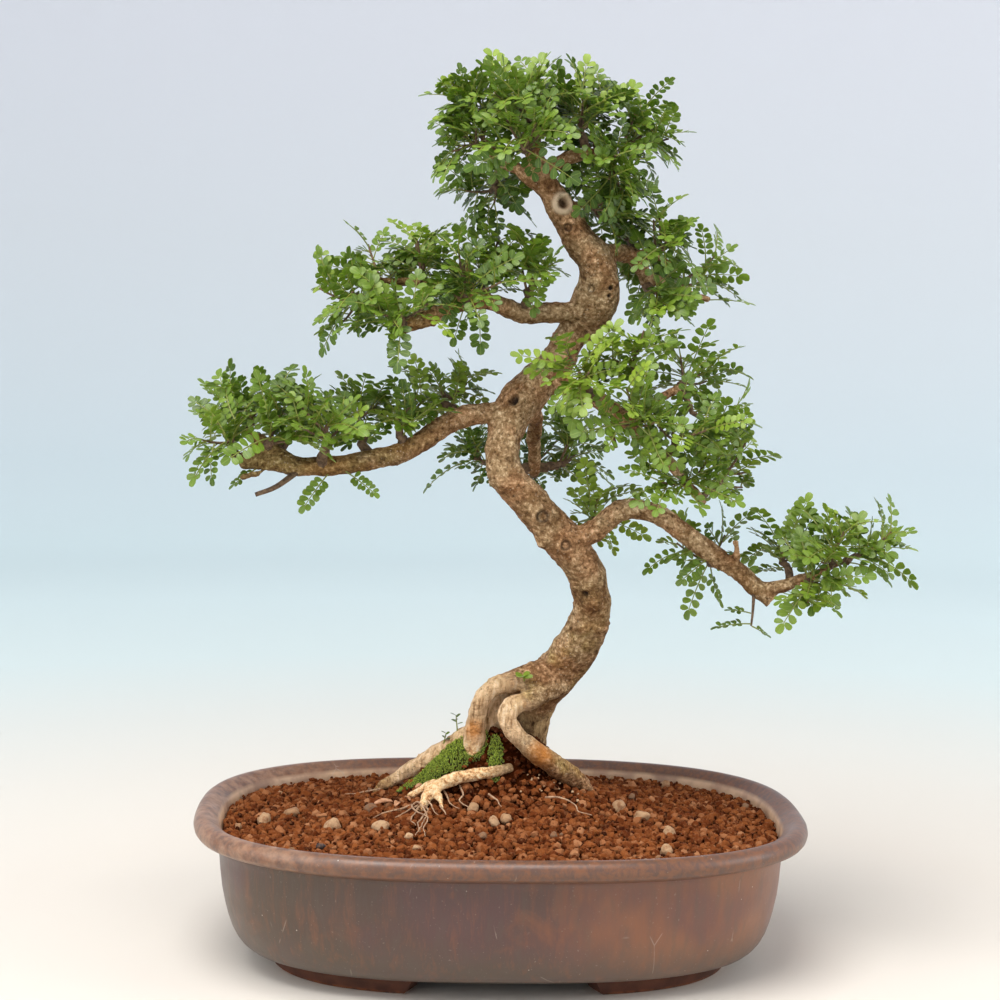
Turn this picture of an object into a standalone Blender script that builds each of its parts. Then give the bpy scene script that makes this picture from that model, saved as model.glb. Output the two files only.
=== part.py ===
"""Chinese pepper bonsai: a small grown tree in a shallow oval pot of glazed clay.

Sizes are in millimetres and are turned into metres where a mesh is made.
+Z is up and +X is to the right of the tree's front, which looks along -Y.
Every place is measured from the middle of the pot at its feet.
"""
import math
import random

import bmesh
import bpy
from mathutils import Vector
from mathutils.bvhtree import BVHTree

MM = 0.001
CLEARANCE = 0.35

# The pot stands left of the middle of the whole tree's width.
POT_CENTRE_X = -23.5

# Pot: a rounded oblong in plan, with a rolled lip, four feet and two drain holes
POT_LENGTH = 300.0
POT_DEPTH = 235.0
PLAN_POWER = 2.7
PLAN_POINTS = 32
FOOT_HEIGHT = 7.0
LIP_RADIUS = 4.9
LIP_CENTRE_Z = 67.8
FLOOR_Z = 13.0
# Outer wall from the base up to the lip: how far it lies inside the lip, and its height
OUTER_WALL = (
    (37.0, FOOT_HEIGHT),
    (36.0, 9.0),
    (27.0, 9.8),
    (20.2, 15.2),
    (16.6, 24.0),
    (13.6, 37.0),
    (12.2, 58.0),
)
LIP_ANGLES = (-125.0, -50.0, 10.0, 70.0, 150.0)
# Inner wall from the lip down to the floor
SOIL_EDGE = (13.0, 64.5)
INNER_WALL = (
    SOIL_EDGE,
    (20.0, 29.0),
    (31.0, FLOOR_Z),
)
FOOT_OUTER_INSET = 35.5
FOOT_WIDTH = 17.0
FOOT_TAPER = 2.5
FOOT_ANGLES = (15.0, 75.0)
FOOT_SEGMENTS = 5
FOOT_SINK = 2.0
DRAIN_HOLE_X = 62.0
DRAIN_HOLE_RADIUS = 11.0
DRAIN_HOLE_SIDES = 16
SCREEN_RADIUS = 17.0
SCREEN_THICKNESS = 1.2

# Soil: a low dome of clay grains, with the root ball and a mossy bank standing out of it
SOIL_RINGS = 8
SOIL_RING_CROWDING = 1.25
SOIL_SEED = 7
SOIL_DOME_CENTRE = (0.0, 22.0)
SOIL_DOME_RADII = (78.0, 58.0)
SOIL_DOME_HEIGHT = 12.5
ROOT_BALL_CENTRE = (2.0, 28.0)
ROOT_BALL_RADII = (33.0, 20.0)
ROOT_BALL_HEIGHT = 29.0
MOSS_BANK_CENTRE = (-25.0, 21.0)
MOSS_BANK_RADII = (20.0, 9.0)
MOSS_BANK_HEIGHT = 8.0
GRAIN_RELIEF = 1.1

# Wood: x, y, z and radius along each limb
TRUNK = (
    (19, 49, 66, 8.6), (18, 46, 95, 8.6), (19, 40, 114, 9.2), (26, 32, 130, 11.0),
    (36, 25, 145, 11.2),
    (44, 15, 165, 10.0), (43, 8, 181, 9.2), (37, 3, 194, 9.2), (27, 0, 206, 10.1),
    (13, -3, 222, 8.8), (1, -5, 236, 8.8), (-2, -5, 247, 8.4), (0, -2, 259, 9.0),
    (5, 1, 271, 10.4), (16, 4, 284, 9.5), (26, 6, 295, 8.2), (31, 6, 306, 8.0),
    (40, 4, 317, 10.8), (44, 0, 328, 10.4), (42, -3, 341, 9.0), (33, -5, 352, 7.8),
    (24, -8, 366, 7.0), (16, -10, 378, 5.7), (11, -12, 388, 4.8), (8, -14, 397, 3.4),
)
BRANCHES = {
    "low_left": (
        (3, 0, 266, 6.4), (-12, -4, 267, 5.4), (-28, -8, 262, 5.3), (-52, -15, 248, 5.1),
        (-77, -20, 242, 4.8), (-97, -23, 241, 4.5), (-114, -26, 243, 4.4), (-128, -28, 244, 3.8),
    ),
    "low_left_rise": (
        (-104, -24, 243, 3.4), (-116, -26, 251, 3.0), (-126, -27, 257, 2.2),
    ),
    "upper_left": (
        (40, 2, 317, 6.6), (21, -2, 316, 5.0), (6, -6, 316, 4.6), (-12, -12, 321, 4.4),
        (-29, -15, 318, 4.0), (-40, -18, 313, 4.2), (-53, -22, 308, 3.6),
    ),
    "upper_left_rise": (
        (-22, -14, 320, 3.2), (-34, -12, 328, 2.6), (-50, -14, 330, 2.2), (-66, -14, 330, 1.7),
    ),
    "right_low": (
        (28, 0, 203, 7.0), (42, -3, 209, 5.6), (57, -7, 221, 5.1), (74, -11, 219, 5.0),
        (93, -14, 206, 5.0), (112, -16, 193, 4.6), (130, -18, 178, 4.0),
    ),
    "right_low_shoot": (
        (122, -17, 184, 3.2), (136, -18, 186, 2.8), (150, -20, 192, 2.3), (162, -20, 198, 1.7),
    ),
    "right_mid": (
        (24, 2, 282, 5.4), (41, -8, 276, 4.2), (54, -18, 267, 3.8), (68, -26, 254, 3.2),
        (86, -30, 236, 2.4), (94, -30, 226, 1.7),
    ),
    "right_mid_rise": (
        (56, -19, 266, 2.8), (68, -26, 274, 2.4), (82, -24, 282, 1.8),
    ),
    "back": (
        (8, 4, 274, 4.4), (15, 24, 266, 3.7), (16, 42, 250, 3.5), (17, 57, 234, 3.2),
    ),
    "right_upper": (
        (44, -2, 345, 4.6), (58, 5, 346, 3.8), (66, 11, 338, 3.6), (69, 13, 328, 3.0),
    ),
    "right_upper_arm": (
        (65, 11, 336, 2.5), (82, 13, 330, 2.1), (100, 14, 324, 1.6),
    ),
    "crown_left": (
        (20, -9, 372, 4.0), (4, -10, 384, 3.4), (-8, -4, 391, 2.8), (-15, 0, 400, 1.9),
    ),
    "crown_right": (
        (13, -11, 384, 3.8), (28, -10, 391, 3.2), (42, -2, 394, 2.6), (52, 4, 395, 1.8),
    ),
    "crown_back": (
        (10, -13, 388, 3.2), (12, 2, 397, 2.8), (14, 14, 406, 1.9),
    ),
}
# Roots: the trunk splits above the soil into legs that run down into the root ball
ROOTS = {
    "left_leg": (
        (28, 27, 134, 9.0), (12, 20, 132, 6.6), (-2, 16, 129, 5.2), (-9, 15, 122, 4.9),
        (-12, 16, 112, 4.9), (-13, 18, 100, 5.2), (-14, 20, 86, 4.6),
    ),
    "front_leg": (
        (30, 26, 129, 7.0), (16, 12, 124, 5.0), (6, 8, 121, 4.7), (3, 6, 114, 4.7),
        (8, 6, 106, 5.0), (18, 8, 97, 5.3), (28, 12, 90, 5.3), (38, 19, 82, 5.0),
        (46, 25, 73, 3.8), (52, 30, 66, 2.4),
    ),
    "far_left": (
        (20, 32, 124, 6.4), (4, 27, 121, 4.6), (-5, 25, 111, 4.6), (-16, 25, 102, 5.2),
        (-28, 27, 93, 5.2), (-42, 31, 84, 4.4), (-55, 36, 75, 3.3), (-65, 40, 67, 2.2),
    ),
    "behind_left": (
        (16, 30, 127, 6.0), (4, 29, 120, 4.6), (-3, 31, 108, 4.6), (-6, 33, 94, 4.4),
        (-9, 36, 80, 3.6),
    ),
    "surface": (
        (22, 42, 84, 3.4), (12, 24, 88, 3.2), (4, 10, 88, 2.9), (-5, 6, 87, 3.0),
        (-15, 5, 86, 3.5), (-24, 4, 84, 3.4), (-33, 1, 80, 3.2), (-37, -4, 75, 2.5),
        (-40, -8, 70, 1.6),
    ),
    "surface_fork": (
        (-30, 3, 82, 2.6), (-38, 6, 79, 2.1), (-46, 7, 74, 1.4),
    ),
}
TRUNK_SIDES = 10
BRANCH_SIDES = 7
TWIG_SIDES = 3
TRUNK_STEP = 12.0
BRANCH_STEP = 13.0
BARK_RIPPLE = 0.06
RIDGES = 3
RIDGE_TWIST = 0.7
KNOT_SIDES = 8
LIMB_SAMPLE_STEP = 4.0
KNOT_HOLLOWS = (
    ((0.4, -9.0, 275.7), 3.6, 2.6),
    ((25.3, -14.5, 369.3), 3.4, 2.4),
)

# Twigs: where each leafy spray sits, listed by the branch that its twig grows from
SPRAYS = {
    "crown": (("crown_left", "crown_right", "crown_back", "trunk_top"), (
        (-14, 2, 414), (-20, -8, 397), (-10, 6, 374), (6, -18, 414), (16, 20, 417),
        (32, -6, 411), (38, 20, 396), (60, 6, 402), (50, -14, 384), (4, -32, 393),
        (42, -2, 368),
    )),
    "upper_left": (("upper_left", "upper_left_rise"), (
        (-76, -20, 319), (-62, 0, 329), (-52, -38, 314), (-42, -12, 334), (-22, -30, 326),
        (-14, 2, 336), (12, -14, 336),
    )),
    "low_left": (("low_left", "low_left_rise"), (
        (-133, -34, 253), (-122, -12, 266), (-112, -42, 256), (-100, -16, 268), (-86, -44, 262),
        (-72, -10, 266), (-54, -20, 264), (-32, 4, 277),
    )),
    "right_upper": (("right_upper", "right_upper_arm"), (
        (60, 16, 356), (76, -2, 350), (88, 22, 334), (70, 36, 340), (72, -8, 328),
    )),
    "right_mid": (("right_mid", "right_mid_rise"), (
        (32, -38, 288), (56, -30, 295), (86, -12, 286), (58, -50, 266), (80, -50, 262),
        (98, -26, 263), (84, -44, 238), (108, -12, 242),
    )),
    "right_low": (("right_low", "right_low_shoot"), (
        (136, -6, 203), (156, -32, 206), (174, -14, 202), (146, -32, 190), (102, 4, 195),
        (44, 10, 215),
    )),
    "back": (("back",), (
        (-14, 58, 241), (36, 60, 241), (18, 76, 238),
    )),
}
TWIG_ROOT_RADIUS = 2.4
TWIG_TIP_RADIUS = 1.0
TWIG_LIFT = 0.45
TWIG_ELBOW = 0.45
TWIG_SHARE_OF_LIMB = 0.85

# Leaves: each is one thin arched blade, cut to its rib into two pairs of leaflets and an end leaflet
LEAVES_PER_SPRAY = 3
LEAF_LENGTH = 31.0
BLADE_THICKNESS = 0.7
RIB_HALF_WIDTH = 0.5
BASE_HALF_WIDTH = 0.8
HUB_RADIUS = 1.6
RIB_STATIONS = (0.0, 7.6, 9.8, 16.2, 18.4)
LEAFLET_LENGTH = 8.4
LEAFLET_WIDTH = 6.6
LEAFLET_FORWARD = 0.2
LEAFLET_NEAR_SHARE = 0.94
END_LEAFLET_WIDTH = 6.8
LEAF_DROOP = 42.0
LEAFLET_FOLD = 10.0
LEAF_GAP = 1.0
LEAF_ROLL = 22.0
LEAF_SEED = 41
# Points of a blade's outline at its hub, on both faces
HUB_END = {0, 19, 20, 39}
AZIMUTH_SHIFTS = (0.0, 14.0, -14.0, 28.0, -28.0, 40.0, -40.0)
RISE_ANGLES = (26.0, 44.0, 8.0, 58.0, -8.0)
LEAF_SCALES = (1.0, 0.86)

# Colour, roughness
FINISHES = {
    "pot": ((0.17, 0.085, 0.055), 0.42),
    "soil": ((0.30, 0.115, 0.05), 0.95),
    "tree": ((0.42, 0.30, 0.19), 0.8),
    "leaves": ((0.09, 0.27, 0.035), 0.5),
    "screen": ((0.03, 0.03, 0.03), 0.6),
}


def clear_scene():
    """Start from an empty file."""
    for obj in list(bpy.data.objects):
        bpy.data.objects.remove(obj, do_unlink=True)


def finish(kind, name):
    """A plain material for one sub-part."""
    colour, roughness = FINISHES[kind]
    material = bpy.data.materials.new(name)
    material.use_nodes = True
    shader = material.node_tree.nodes["Principled BSDF"]
    shader.inputs["Base Color"].default_value = (*colour, 1.0)
    shader.inputs["Roughness"].default_value = roughness
    shader.inputs["Metallic"].default_value = 0.0
    material.diffuse_color = (*colour, 1.0)
    return material


def make_object(name, vertices, faces, kind=None):
    """An object from vertices in millimetres and faces as index lists."""
    mesh = bpy.data.meshes.new(name)
    mesh.from_pydata([Vector(v) * MM for v in vertices], [], faces)
    mesh.update()
    tidy_normals(mesh)
    obj = bpy.data.objects.new(name, mesh)
    bpy.context.scene.collection.objects.link(obj)
    if kind is not None:
        mesh.materials.append(finish(kind, name))
    return obj


def tidy_normals(mesh):
    """Turn all faces of a closed mesh outwards."""
    work = bmesh.new()
    work.from_mesh(mesh)
    bmesh.ops.recalc_face_normals(work, faces=work.faces)
    work.to_mesh(mesh)
    work.free()


def apply_modifiers(obj):
    """Keep the evaluated mesh and drop the modifiers."""
    depsgraph = bpy.context.evaluated_depsgraph_get()
    mesh = bpy.data.meshes.new_from_object(obj.evaluated_get(depsgraph))
    obj.modifiers.clear()
    obj.data = mesh


def join_with_boolean(base, others, operation):
    """Unite the other objects with the base, or cut them from it, and remove them."""
    group = bpy.data.collections.new(base.name + "_" + operation.lower())
    bpy.context.scene.collection.children.link(group)
    for other in others:
        bpy.context.scene.collection.objects.unlink(other)
        group.objects.link(other)
    modifier = base.modifiers.new(operation.lower(), "BOOLEAN")
    modifier.operation = operation
    modifier.operand_type = "COLLECTION"
    modifier.collection = group
    modifier.solver = "EXACT"
    apply_modifiers(base)
    for other in list(group.objects):
        bpy.data.objects.remove(other, do_unlink=True)
    bpy.data.collections.remove(group)


def plan_point(inset, angle, z):
    """A point of the pot's rounded oblong plan, a distance inside the lip's edge."""
    cosine = math.cos(angle)
    sine = math.sin(angle)
    power = 2.0 / PLAN_POWER
    x = math.copysign(abs(cosine) ** power, cosine) * (POT_LENGTH / 2.0 - inset)
    y = math.copysign(abs(sine) ** power, sine) * (POT_DEPTH / 2.0 - inset)
    return Vector((x, y, z))


def plan_ring(inset, z):
    """One closed ring of the pot's plan."""
    return [plan_point(inset, 2.0 * math.pi * i / PLAN_POINTS, z) for i in range(PLAN_POINTS)]


def loft(rings):
    """Vertices and faces of a closed skin over rings of equal count, capped at both ends."""
    count = len(rings[0])
    vertices = [point for ring in rings for point in ring]
    faces = [list(range(count))[::-1]]
    for level in range(len(rings) - 1):
        low = level * count
        high = low + count
        for i in range(count):
            j = (i + 1) % count
            faces.append([low + i, low + j, high + j, high + i])
    faces.append([(len(rings) - 1) * count + i for i in range(count)])
    return vertices, faces


def cylinder(name, x, y, low, high, radius, sides):
    """A plain upright cylinder, used as a cutter or a disc."""
    rings = []
    for z in (low, high):
        ring = [Vector((x + radius * math.cos(2.0 * math.pi * i / sides),
                        y + radius * math.sin(2.0 * math.pi * i / sides), z)) for i in range(sides)]
        rings.append(ring)
    vertices, faces = loft(rings)
    return make_object(name, vertices, faces)


def lip_profile():
    """The rolled lip's round, from under its outer side over the top to its inner side."""
    profile = []
    for degrees in LIP_ANGLES:
        angle = math.radians(degrees)
        profile.append((LIP_RADIUS - LIP_RADIUS * math.cos(angle),
                        LIP_CENTRE_Z + LIP_RADIUS * math.sin(angle)))
    return profile


def make_foot(quadrant):
    """One foot, following the plan round a corner of the pot."""
    first, last = (math.radians(a) for a in FOOT_ANGLES)
    rings = []
    for z, taper in ((0.0, FOOT_TAPER), (FOOT_HEIGHT + FOOT_SINK, 0.0)):
        turn = math.radians(taper)
        angles = [first + turn + (last - first - 2.0 * turn) * i / FOOT_SEGMENTS
                  for i in range(FOOT_SEGMENTS + 1)]
        outer = [plan_point(FOOT_OUTER_INSET + taper, a, z) for a in angles]
        inner = [plan_point(FOOT_OUTER_INSET + FOOT_WIDTH - taper, a, z) for a in reversed(angles)]
        rings.append(outer + inner)
    flip_x, flip_y = quadrant
    rings = [[Vector((p.x * flip_x, p.y * flip_y, p.z)) for p in ring] for ring in rings]
    vertices, faces = loft(rings)
    return make_object("foot", vertices, faces)


def make_pot():
    """The glazed pot with its lip, feet and drain holes."""
    profile = list(OUTER_WALL) + lip_profile() + list(INNER_WALL)
    vertices, faces = loft([plan_ring(inset, z) for inset, z in profile])
    pot = make_object("pot", vertices, faces, "pot")
    feet = [make_foot((sx, sy)) for sx in (1.0, -1.0) for sy in (1.0, -1.0)]
    join_with_boolean(pot, feet, "UNION")
    drills = [cylinder("drill", side * DRAIN_HOLE_X, 0.0, 0.0, 2.0 * FLOOR_Z,
                       DRAIN_HOLE_RADIUS, DRAIN_HOLE_SIDES) for side in (1.0, -1.0)]
    join_with_boolean(pot, drills, "DIFFERENCE")
    pot.data.shade_smooth()
    pot.data.set_sharp_from_angle(angle=math.radians(40.0))


def make_screens():
    """The plastic screens that lie on the floor over the drain holes."""
    low = FLOOR_Z + CLEARANCE
    for label, side in (("left", -1.0), ("right", 1.0)):
        name = "drain_screen_" + label
        screen = cylinder(name, side * DRAIN_HOLE_X, 0.0, low, low + SCREEN_THICKNESS,
                          SCREEN_RADIUS, DRAIN_HOLE_SIDES)
        screen.data.materials.append(finish("screen", name))


def bump(x, y, centre, radii, sharpness):
    """A smooth mound of height one."""
    reach = ((x - centre[0]) / radii[0]) ** 2 + ((y - centre[1]) / radii[1]) ** 2
    return math.exp(-reach ** sharpness)


def soil_height(x, y):
    """Height of the soil's surface, before its grains."""
    dome = SOIL_DOME_HEIGHT * bump(x, y, SOIL_DOME_CENTRE, SOIL_DOME_RADII, 1.0)
    ball = ROOT_BALL_HEIGHT * bump(x, y, ROOT_BALL_CENTRE, ROOT_BALL_RADII, 1.3)
    bank = MOSS_BANK_HEIGHT * bump(x, y, MOSS_BANK_CENTRE, MOSS_BANK_RADII, 1.3)
    return SOIL_EDGE[1] + dome + ball + bank


def make_soil():
    """The soil that fills the pot, cut clear of the screens and the roots."""
    draw = random.Random(SOIL_SEED)
    profile = [(inset + CLEARANCE, z) for inset, z in reversed(INNER_WALL)]
    profile[0] = (profile[0][0] + CLEARANCE, FLOOR_Z + CLEARANCE)
    rings = [plan_ring(inset, z) for inset, z in profile]
    edge = rings[-1]
    middle_x, middle_y = ROOT_BALL_CENTRE
    for level in range(1, SOIL_RINGS):
        reach = (1.0 - level / SOIL_RINGS) ** SOIL_RING_CROWDING
        ring = []
        for i, rim in enumerate(edge):
            half_turn = 0.5 * (level % 2)
            rim = rim.lerp(edge[(i + 1) % PLAN_POINTS], half_turn)
            x = middle_x + (rim.x - middle_x) * reach
            y = middle_y + (rim.y - middle_y) * reach
            grain = draw.uniform(-GRAIN_RELIEF, GRAIN_RELIEF)
            ring.append(Vector((x, y, soil_height(x, y) + grain)))
        rings.append(ring)
    vertices, faces = loft(rings)
    soil = make_object("soil", vertices, faces, "soil")
    pocket_top = FLOOR_Z + SCREEN_THICKNESS + 2.0 * CLEARANCE
    cutters = [cylinder("pocket", side * DRAIN_HOLE_X, 0.0, 0.0, pocket_top,
                        SCREEN_RADIUS + CLEARANCE, DRAIN_HOLE_SIDES) for side in (1.0, -1.0)]
    cutters.append(tube("stump_hole", TRUNK[:4], TRUNK_SIDES, TRUNK_STEP, CLEARANCE, BARK_RIPPLE))
    for name, stations in ROOTS.items():
        cutters.append(tube(name + "_hole", stations, BRANCH_SIDES, BRANCH_STEP, CLEARANCE))
    join_with_boolean(soil, cutters, "DIFFERENCE")


def smooth_path(stations, step):
    """Points and radii on a smooth curve through the stations, about one step apart."""
    points = [Vector(s) for s in stations]
    first = points[0] * 2.0 - points[1]
    last = points[-1] * 2.0 - points[-2]
    padded = [first] + points + [last]
    path = []
    for i in range(1, len(padded) - 2):
        a, b, c, d = padded[i - 1:i + 3]
        count = max(1, round((c.xyz - b.xyz).length / step))
        for k in range(count):
            t = k / count
            path.append(0.5 * (2.0 * b + (c - a) * t + (2.0 * a - 5.0 * b + 4.0 * c - d) * t * t
                               + (3.0 * b - a - 3.0 * c + d) * t ** 3))
    path.append(points[-1])
    return path


def tube(name, stations, sides, step, grow=0.0, ripple=0.0):
    """A limb through the stations, made thicker and longer all round by grow.

    The ripple gives its section three soft ridges that wind along it.
    """
    path = smooth_path(stations, step)
    rings = []
    side = None
    for i, station in enumerate(path):
        ahead = path[min(i + 1, len(path) - 1)].xyz - path[max(i - 1, 0)].xyz
        ahead.normalize()
        if side is None:
            side = ahead.orthogonal().normalized()
        side = (side - ahead * side.dot(ahead)).normalized()
        other = ahead.cross(side)
        centre = station.xyz
        if i == 0:
            centre = centre - ahead * grow
        if i == len(path) - 1:
            centre = centre + ahead * grow
        ring = []
        for k in range(sides):
            angle = 2.0 * math.pi * k / sides
            ridge = ripple * math.sin(RIDGES * angle + RIDGE_TWIST * i)
            radius = station.w * (1.0 + ridge) + grow
            ring.append(centre + (side * math.cos(angle) + other * math.sin(angle)) * radius)
        rings.append(ring)
    vertices, faces = loft(rings)
    return make_object(name, vertices, faces)


def limb_samples(names):
    """Points along the named limbs' axes, with the limb's radius there."""
    samples = []
    for name in names:
        stations = TRUNK[-3:] if name == "trunk_top" else BRANCHES[name]
        samples += smooth_path(stations, LIMB_SAMPLE_STEP)
    return samples


def twig_course(tip, samples):
    """Where a twig leaves its limb, where it bends, and the way that it points at its tip."""
    tip = Vector(tip)
    root = min(samples, key=lambda s: (s.xyz - tip).length - s.w)
    span = tip - root.xyz
    way = (span.normalized() + Vector((0.0, 0.0, TWIG_LIFT))).normalized()
    elbow = tip - way * span.length * TWIG_ELBOW
    return root, elbow, tip, way


def make_twig(tip, samples):
    """A thin twig from its limb to the base of its leaves."""
    root, elbow, tip, way = twig_course(tip, samples)
    foot_radius = min(TWIG_ROOT_RADIUS, root.w * TWIG_SHARE_OF_LIMB)
    rings = []
    side = way.orthogonal().normalized()
    for t in (0.0, 0.5, 1.0):
        point = root.xyz * (1.0 - t) ** 2 + elbow * 2.0 * t * (1.0 - t) + tip * t * t
        ahead = ((elbow - root.xyz) * (1.0 - t) + (tip - elbow) * t).normalized()
        side = (side - ahead * side.dot(ahead)).normalized()
        other = ahead.cross(side)
        radius = foot_radius * (1.0 - t) + TWIG_TIP_RADIUS * t
        angles = [2.0 * math.pi * k / TWIG_SIDES for k in range(TWIG_SIDES)]
        rings.append([point + (side * math.cos(a) + other * math.sin(a)) * radius for a in angles])
    vertices, faces = loft(rings)
    return make_object("twig", vertices, faces)


def make_tree():
    """Trunk, branches, twigs and roots, grown as one piece."""
    tree = tube("tree", TRUNK, TRUNK_SIDES, TRUNK_STEP, 0.0, BARK_RIPPLE)
    tree.data.materials.append(finish("tree", "tree"))
    pieces = [tube(name, stations, BRANCH_SIDES, BRANCH_STEP) for name, stations in BRANCHES.items()]
    pieces += [tube(name, stations, BRANCH_SIDES, BRANCH_STEP) for name, stations in ROOTS.items()]
    for limbs, tips in SPRAYS.values():
        samples = limb_samples(limbs)
        pieces += [make_twig(tip, samples) for tip in tips]
    join_with_boolean(tree, pieces, "UNION")
    hollows = []
    for place, radius, depth in KNOT_HOLLOWS:
        hollow = cylinder("hollow", 0.0, 0.0, -depth, depth, radius, KNOT_SIDES)
        hollow.data.transform(Vector((0.0, -1.0, 0.0)).to_track_quat("Z", "Y").to_matrix().to_4x4())
        hollow.location = Vector(place) * MM
        hollows.append(hollow)
    bpy.context.view_layer.update()
    join_with_boolean(tree, hollows, "DIFFERENCE")
    return tree


class Blade:
    """One pinnate leaf, as the middle surface of a thin arched blade."""

    def __init__(self, hub, normal, azimuth, rise, scale, roll):
        flat = normal.orthogonal().normalized()
        outward = flat * math.cos(azimuth) + normal.cross(flat) * math.sin(azimuth)
        self.scale = scale
        self.rise = rise
        self.hub_normal = normal
        self.outward = outward
        self.side = normal.cross(outward)
        self.start = hub + outward * HUB_RADIUS
        self.roll = roll

    def frame(self, along):
        """Place, sideways direction and normal on the arched rib."""
        bend = math.radians(LEAF_DROOP) / (LEAF_LENGTH * self.scale)
        begin = self.rise
        end = begin - bend * along
        # The rib is an arc whose slope falls steadily from the hub to the tip
        out = (math.sin(begin) - math.sin(end)) / bend
        up = (math.cos(end) - math.cos(begin)) / bend
        place = self.start + self.outward * out + self.hub_normal * up
        normal = self.hub_normal * math.cos(end) - self.outward * math.sin(end)
        twist = self.roll * min(1.0, along / (RIB_STATIONS[1] * self.scale))
        side = self.side * math.cos(twist) + normal * math.sin(twist)
        normal = normal * math.cos(twist) - self.side * math.sin(twist)
        return place, side, normal

    def point(self, along, across):
        """A point of the blade with its normal; leaflets fold up a little from the rib."""
        place, side, normal = self.frame(along * self.scale)
        on_rib = abs(across) <= BASE_HALF_WIDTH
        fold = 0.0 if on_rib else math.radians(LEAFLET_FOLD)
        tilt = math.copysign(fold, across)
        spread = side * math.cos(tilt) + normal * math.sin(tilt)
        return place + spread * across * self.scale, normal * math.cos(tilt) - side * math.sin(tilt)

    def outline(self):
        """Points from the right side of the base round the tip to the left side of the base."""
        right = []
        for k, along in enumerate(RIB_STATIONS):
            right.append((along, -(RIB_HALF_WIDTH if k else BASE_HALF_WIDTH)))
            if k in (1, 3):
                near = along + LEAFLET_FORWARD
                right.append((near, -LEAFLET_LENGTH * LEAFLET_NEAR_SHARE))
                right.append((near + LEAFLET_WIDTH, -LEAFLET_LENGTH))
        tip = [(LEAF_LENGTH, -END_LEAFLET_WIDTH / 2.0), (LEAF_LENGTH, END_LEAFLET_WIDTH / 2.0)]
        left = [(along, -across) for along, across in reversed(right)]
        return [self.point(along, across) for along, across in right + tip + left]

    def triangles(self):
        """Index triangles of one face of the blade, over its outline's points."""
        last = max(HUB_END) // 2
        ribs = [(0, last), (1, last - 1), (4, last - 4), (5, last - 5), (8, last - 8)]
        faces = []
        for (r0, l0), (r1, l1) in zip(ribs, ribs[1:]):
            faces += [(r0, r1, l1), (r0, l1, l0)]
        for a in (1, 5):
            faces += [(a, a + 1, a + 2), (a, a + 2, a + 3)]
            b = last - a
            faces += [(b, b - 2, b - 1), (b, b - 3, b - 2)]
        faces += [(8, 9, 10), (8, 10, 11)]
        return faces


def blade_solid(outlines, faces, thickness):
    """A plate over the given middle surface, with the same triangles on both faces."""
    count = len(outlines)
    vertices = [p + n * thickness / 2.0 for p, n in outlines]
    vertices += [p - n * thickness / 2.0 for p, n in outlines]
    solid = [tuple(f) for f in faces]
    solid += [tuple(i + count for i in reversed(f)) for f in faces]
    for i in range(count):
        j = (i + 1) % count
        solid.append((i, i + count, j + count))
        solid.append((i, j + count, j))
    return vertices, solid


def search_tree(blade, gap, whole):
    """A leaf made thicker by a gap on both faces, for finding what it meets."""
    vertices, faces = blade_solid(blade.outline(), blade.triangles(), BLADE_THICKNESS + 2.0 * gap)
    if not whole:
        faces = [f for f in faces if not HUB_END & set(f)]
    return BVHTree.FromPolygons(vertices, faces)


def is_clear(blade, wood, taken, own):
    """Whether a leaf keeps its gap to the wood, to other sprays and to its own spray's leaves."""
    stalkless = search_tree(blade, LEAF_GAP, False)
    if stalkless.overlap(wood) or search_tree(blade, 0.0, True).overlap(wood):
        return False
    if any(stalkless.overlap(other) for other in own):
        return False
    guard = search_tree(blade, LEAF_GAP, True)
    return not any(guard.overlap(other) for other in taken)


def place_leaf(hub, normal, azimuth, roll, first_rise, wood, taken, own):
    """Turn a leaf round its hub, and lift or shorten it, until it is clear; None if it never is."""
    for scale in LEAF_SCALES:
        for step in range(len(RISE_ANGLES)):
            rise = math.radians(RISE_ANGLES[(first_rise + step) % len(RISE_ANGLES)])
            for shift in AZIMUTH_SHIFTS:
                blade = Blade(hub, normal, azimuth + math.radians(shift), rise, scale, roll)
                if is_clear(blade, wood, taken, own):
                    return blade
    return None


def make_spray(name, hub, normal, wood, taken, draw):
    """A rosette of leaves on one twig's tip, each clear of its neighbours."""
    start = draw.uniform(0.0, 2.0 * math.pi)
    blades = []
    own = []
    for k in range(LEAVES_PER_SPRAY):
        azimuth = start + 2.0 * math.pi * k / LEAVES_PER_SPRAY
        roll = math.radians(draw.uniform(-LEAF_ROLL, LEAF_ROLL))
        blade = place_leaf(hub, normal, azimuth, roll, k, wood, taken, own)
        if blade:
            blades.append(blade)
            own.append(search_tree(blade, 0.0, False))
    taken += [search_tree(blade, 0.0, True) for blade in blades]
    outline = []
    faces = []
    bases = []
    for blade in blades:
        offset = len(outline)
        outline += blade.outline()
        faces += [tuple(i + offset for i in face) for face in blade.triangles()]
        bases += [offset, len(outline) - 1]
    faces += [(bases[0], bases[k], bases[k + 1]) for k in range(1, len(bases) - 1)]
    vertices, solid = blade_solid(outline, faces, BLADE_THICKNESS)
    make_object(name, vertices, solid, "leaves")


def make_leaves(tree):
    """All the leafy sprays, one on each twig."""
    vertices = [v.co / MM for v in tree.data.vertices]
    wood = BVHTree.FromPolygons(vertices, [tuple(p.vertices) for p in tree.data.polygons])
    draw = random.Random(LEAF_SEED)
    taken = []
    for pad, (limbs, tips) in SPRAYS.items():
        samples = limb_samples(limbs)
        for number, place in enumerate(tips, 1):
            _, _, tip, way = twig_course(place, samples)
            hub = tip + way * (BLADE_THICKNESS / 2.0 + CLEARANCE)
            make_spray("leaves_%s_%02d" % (pad, number), hub, way, wood, taken, draw)


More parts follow.
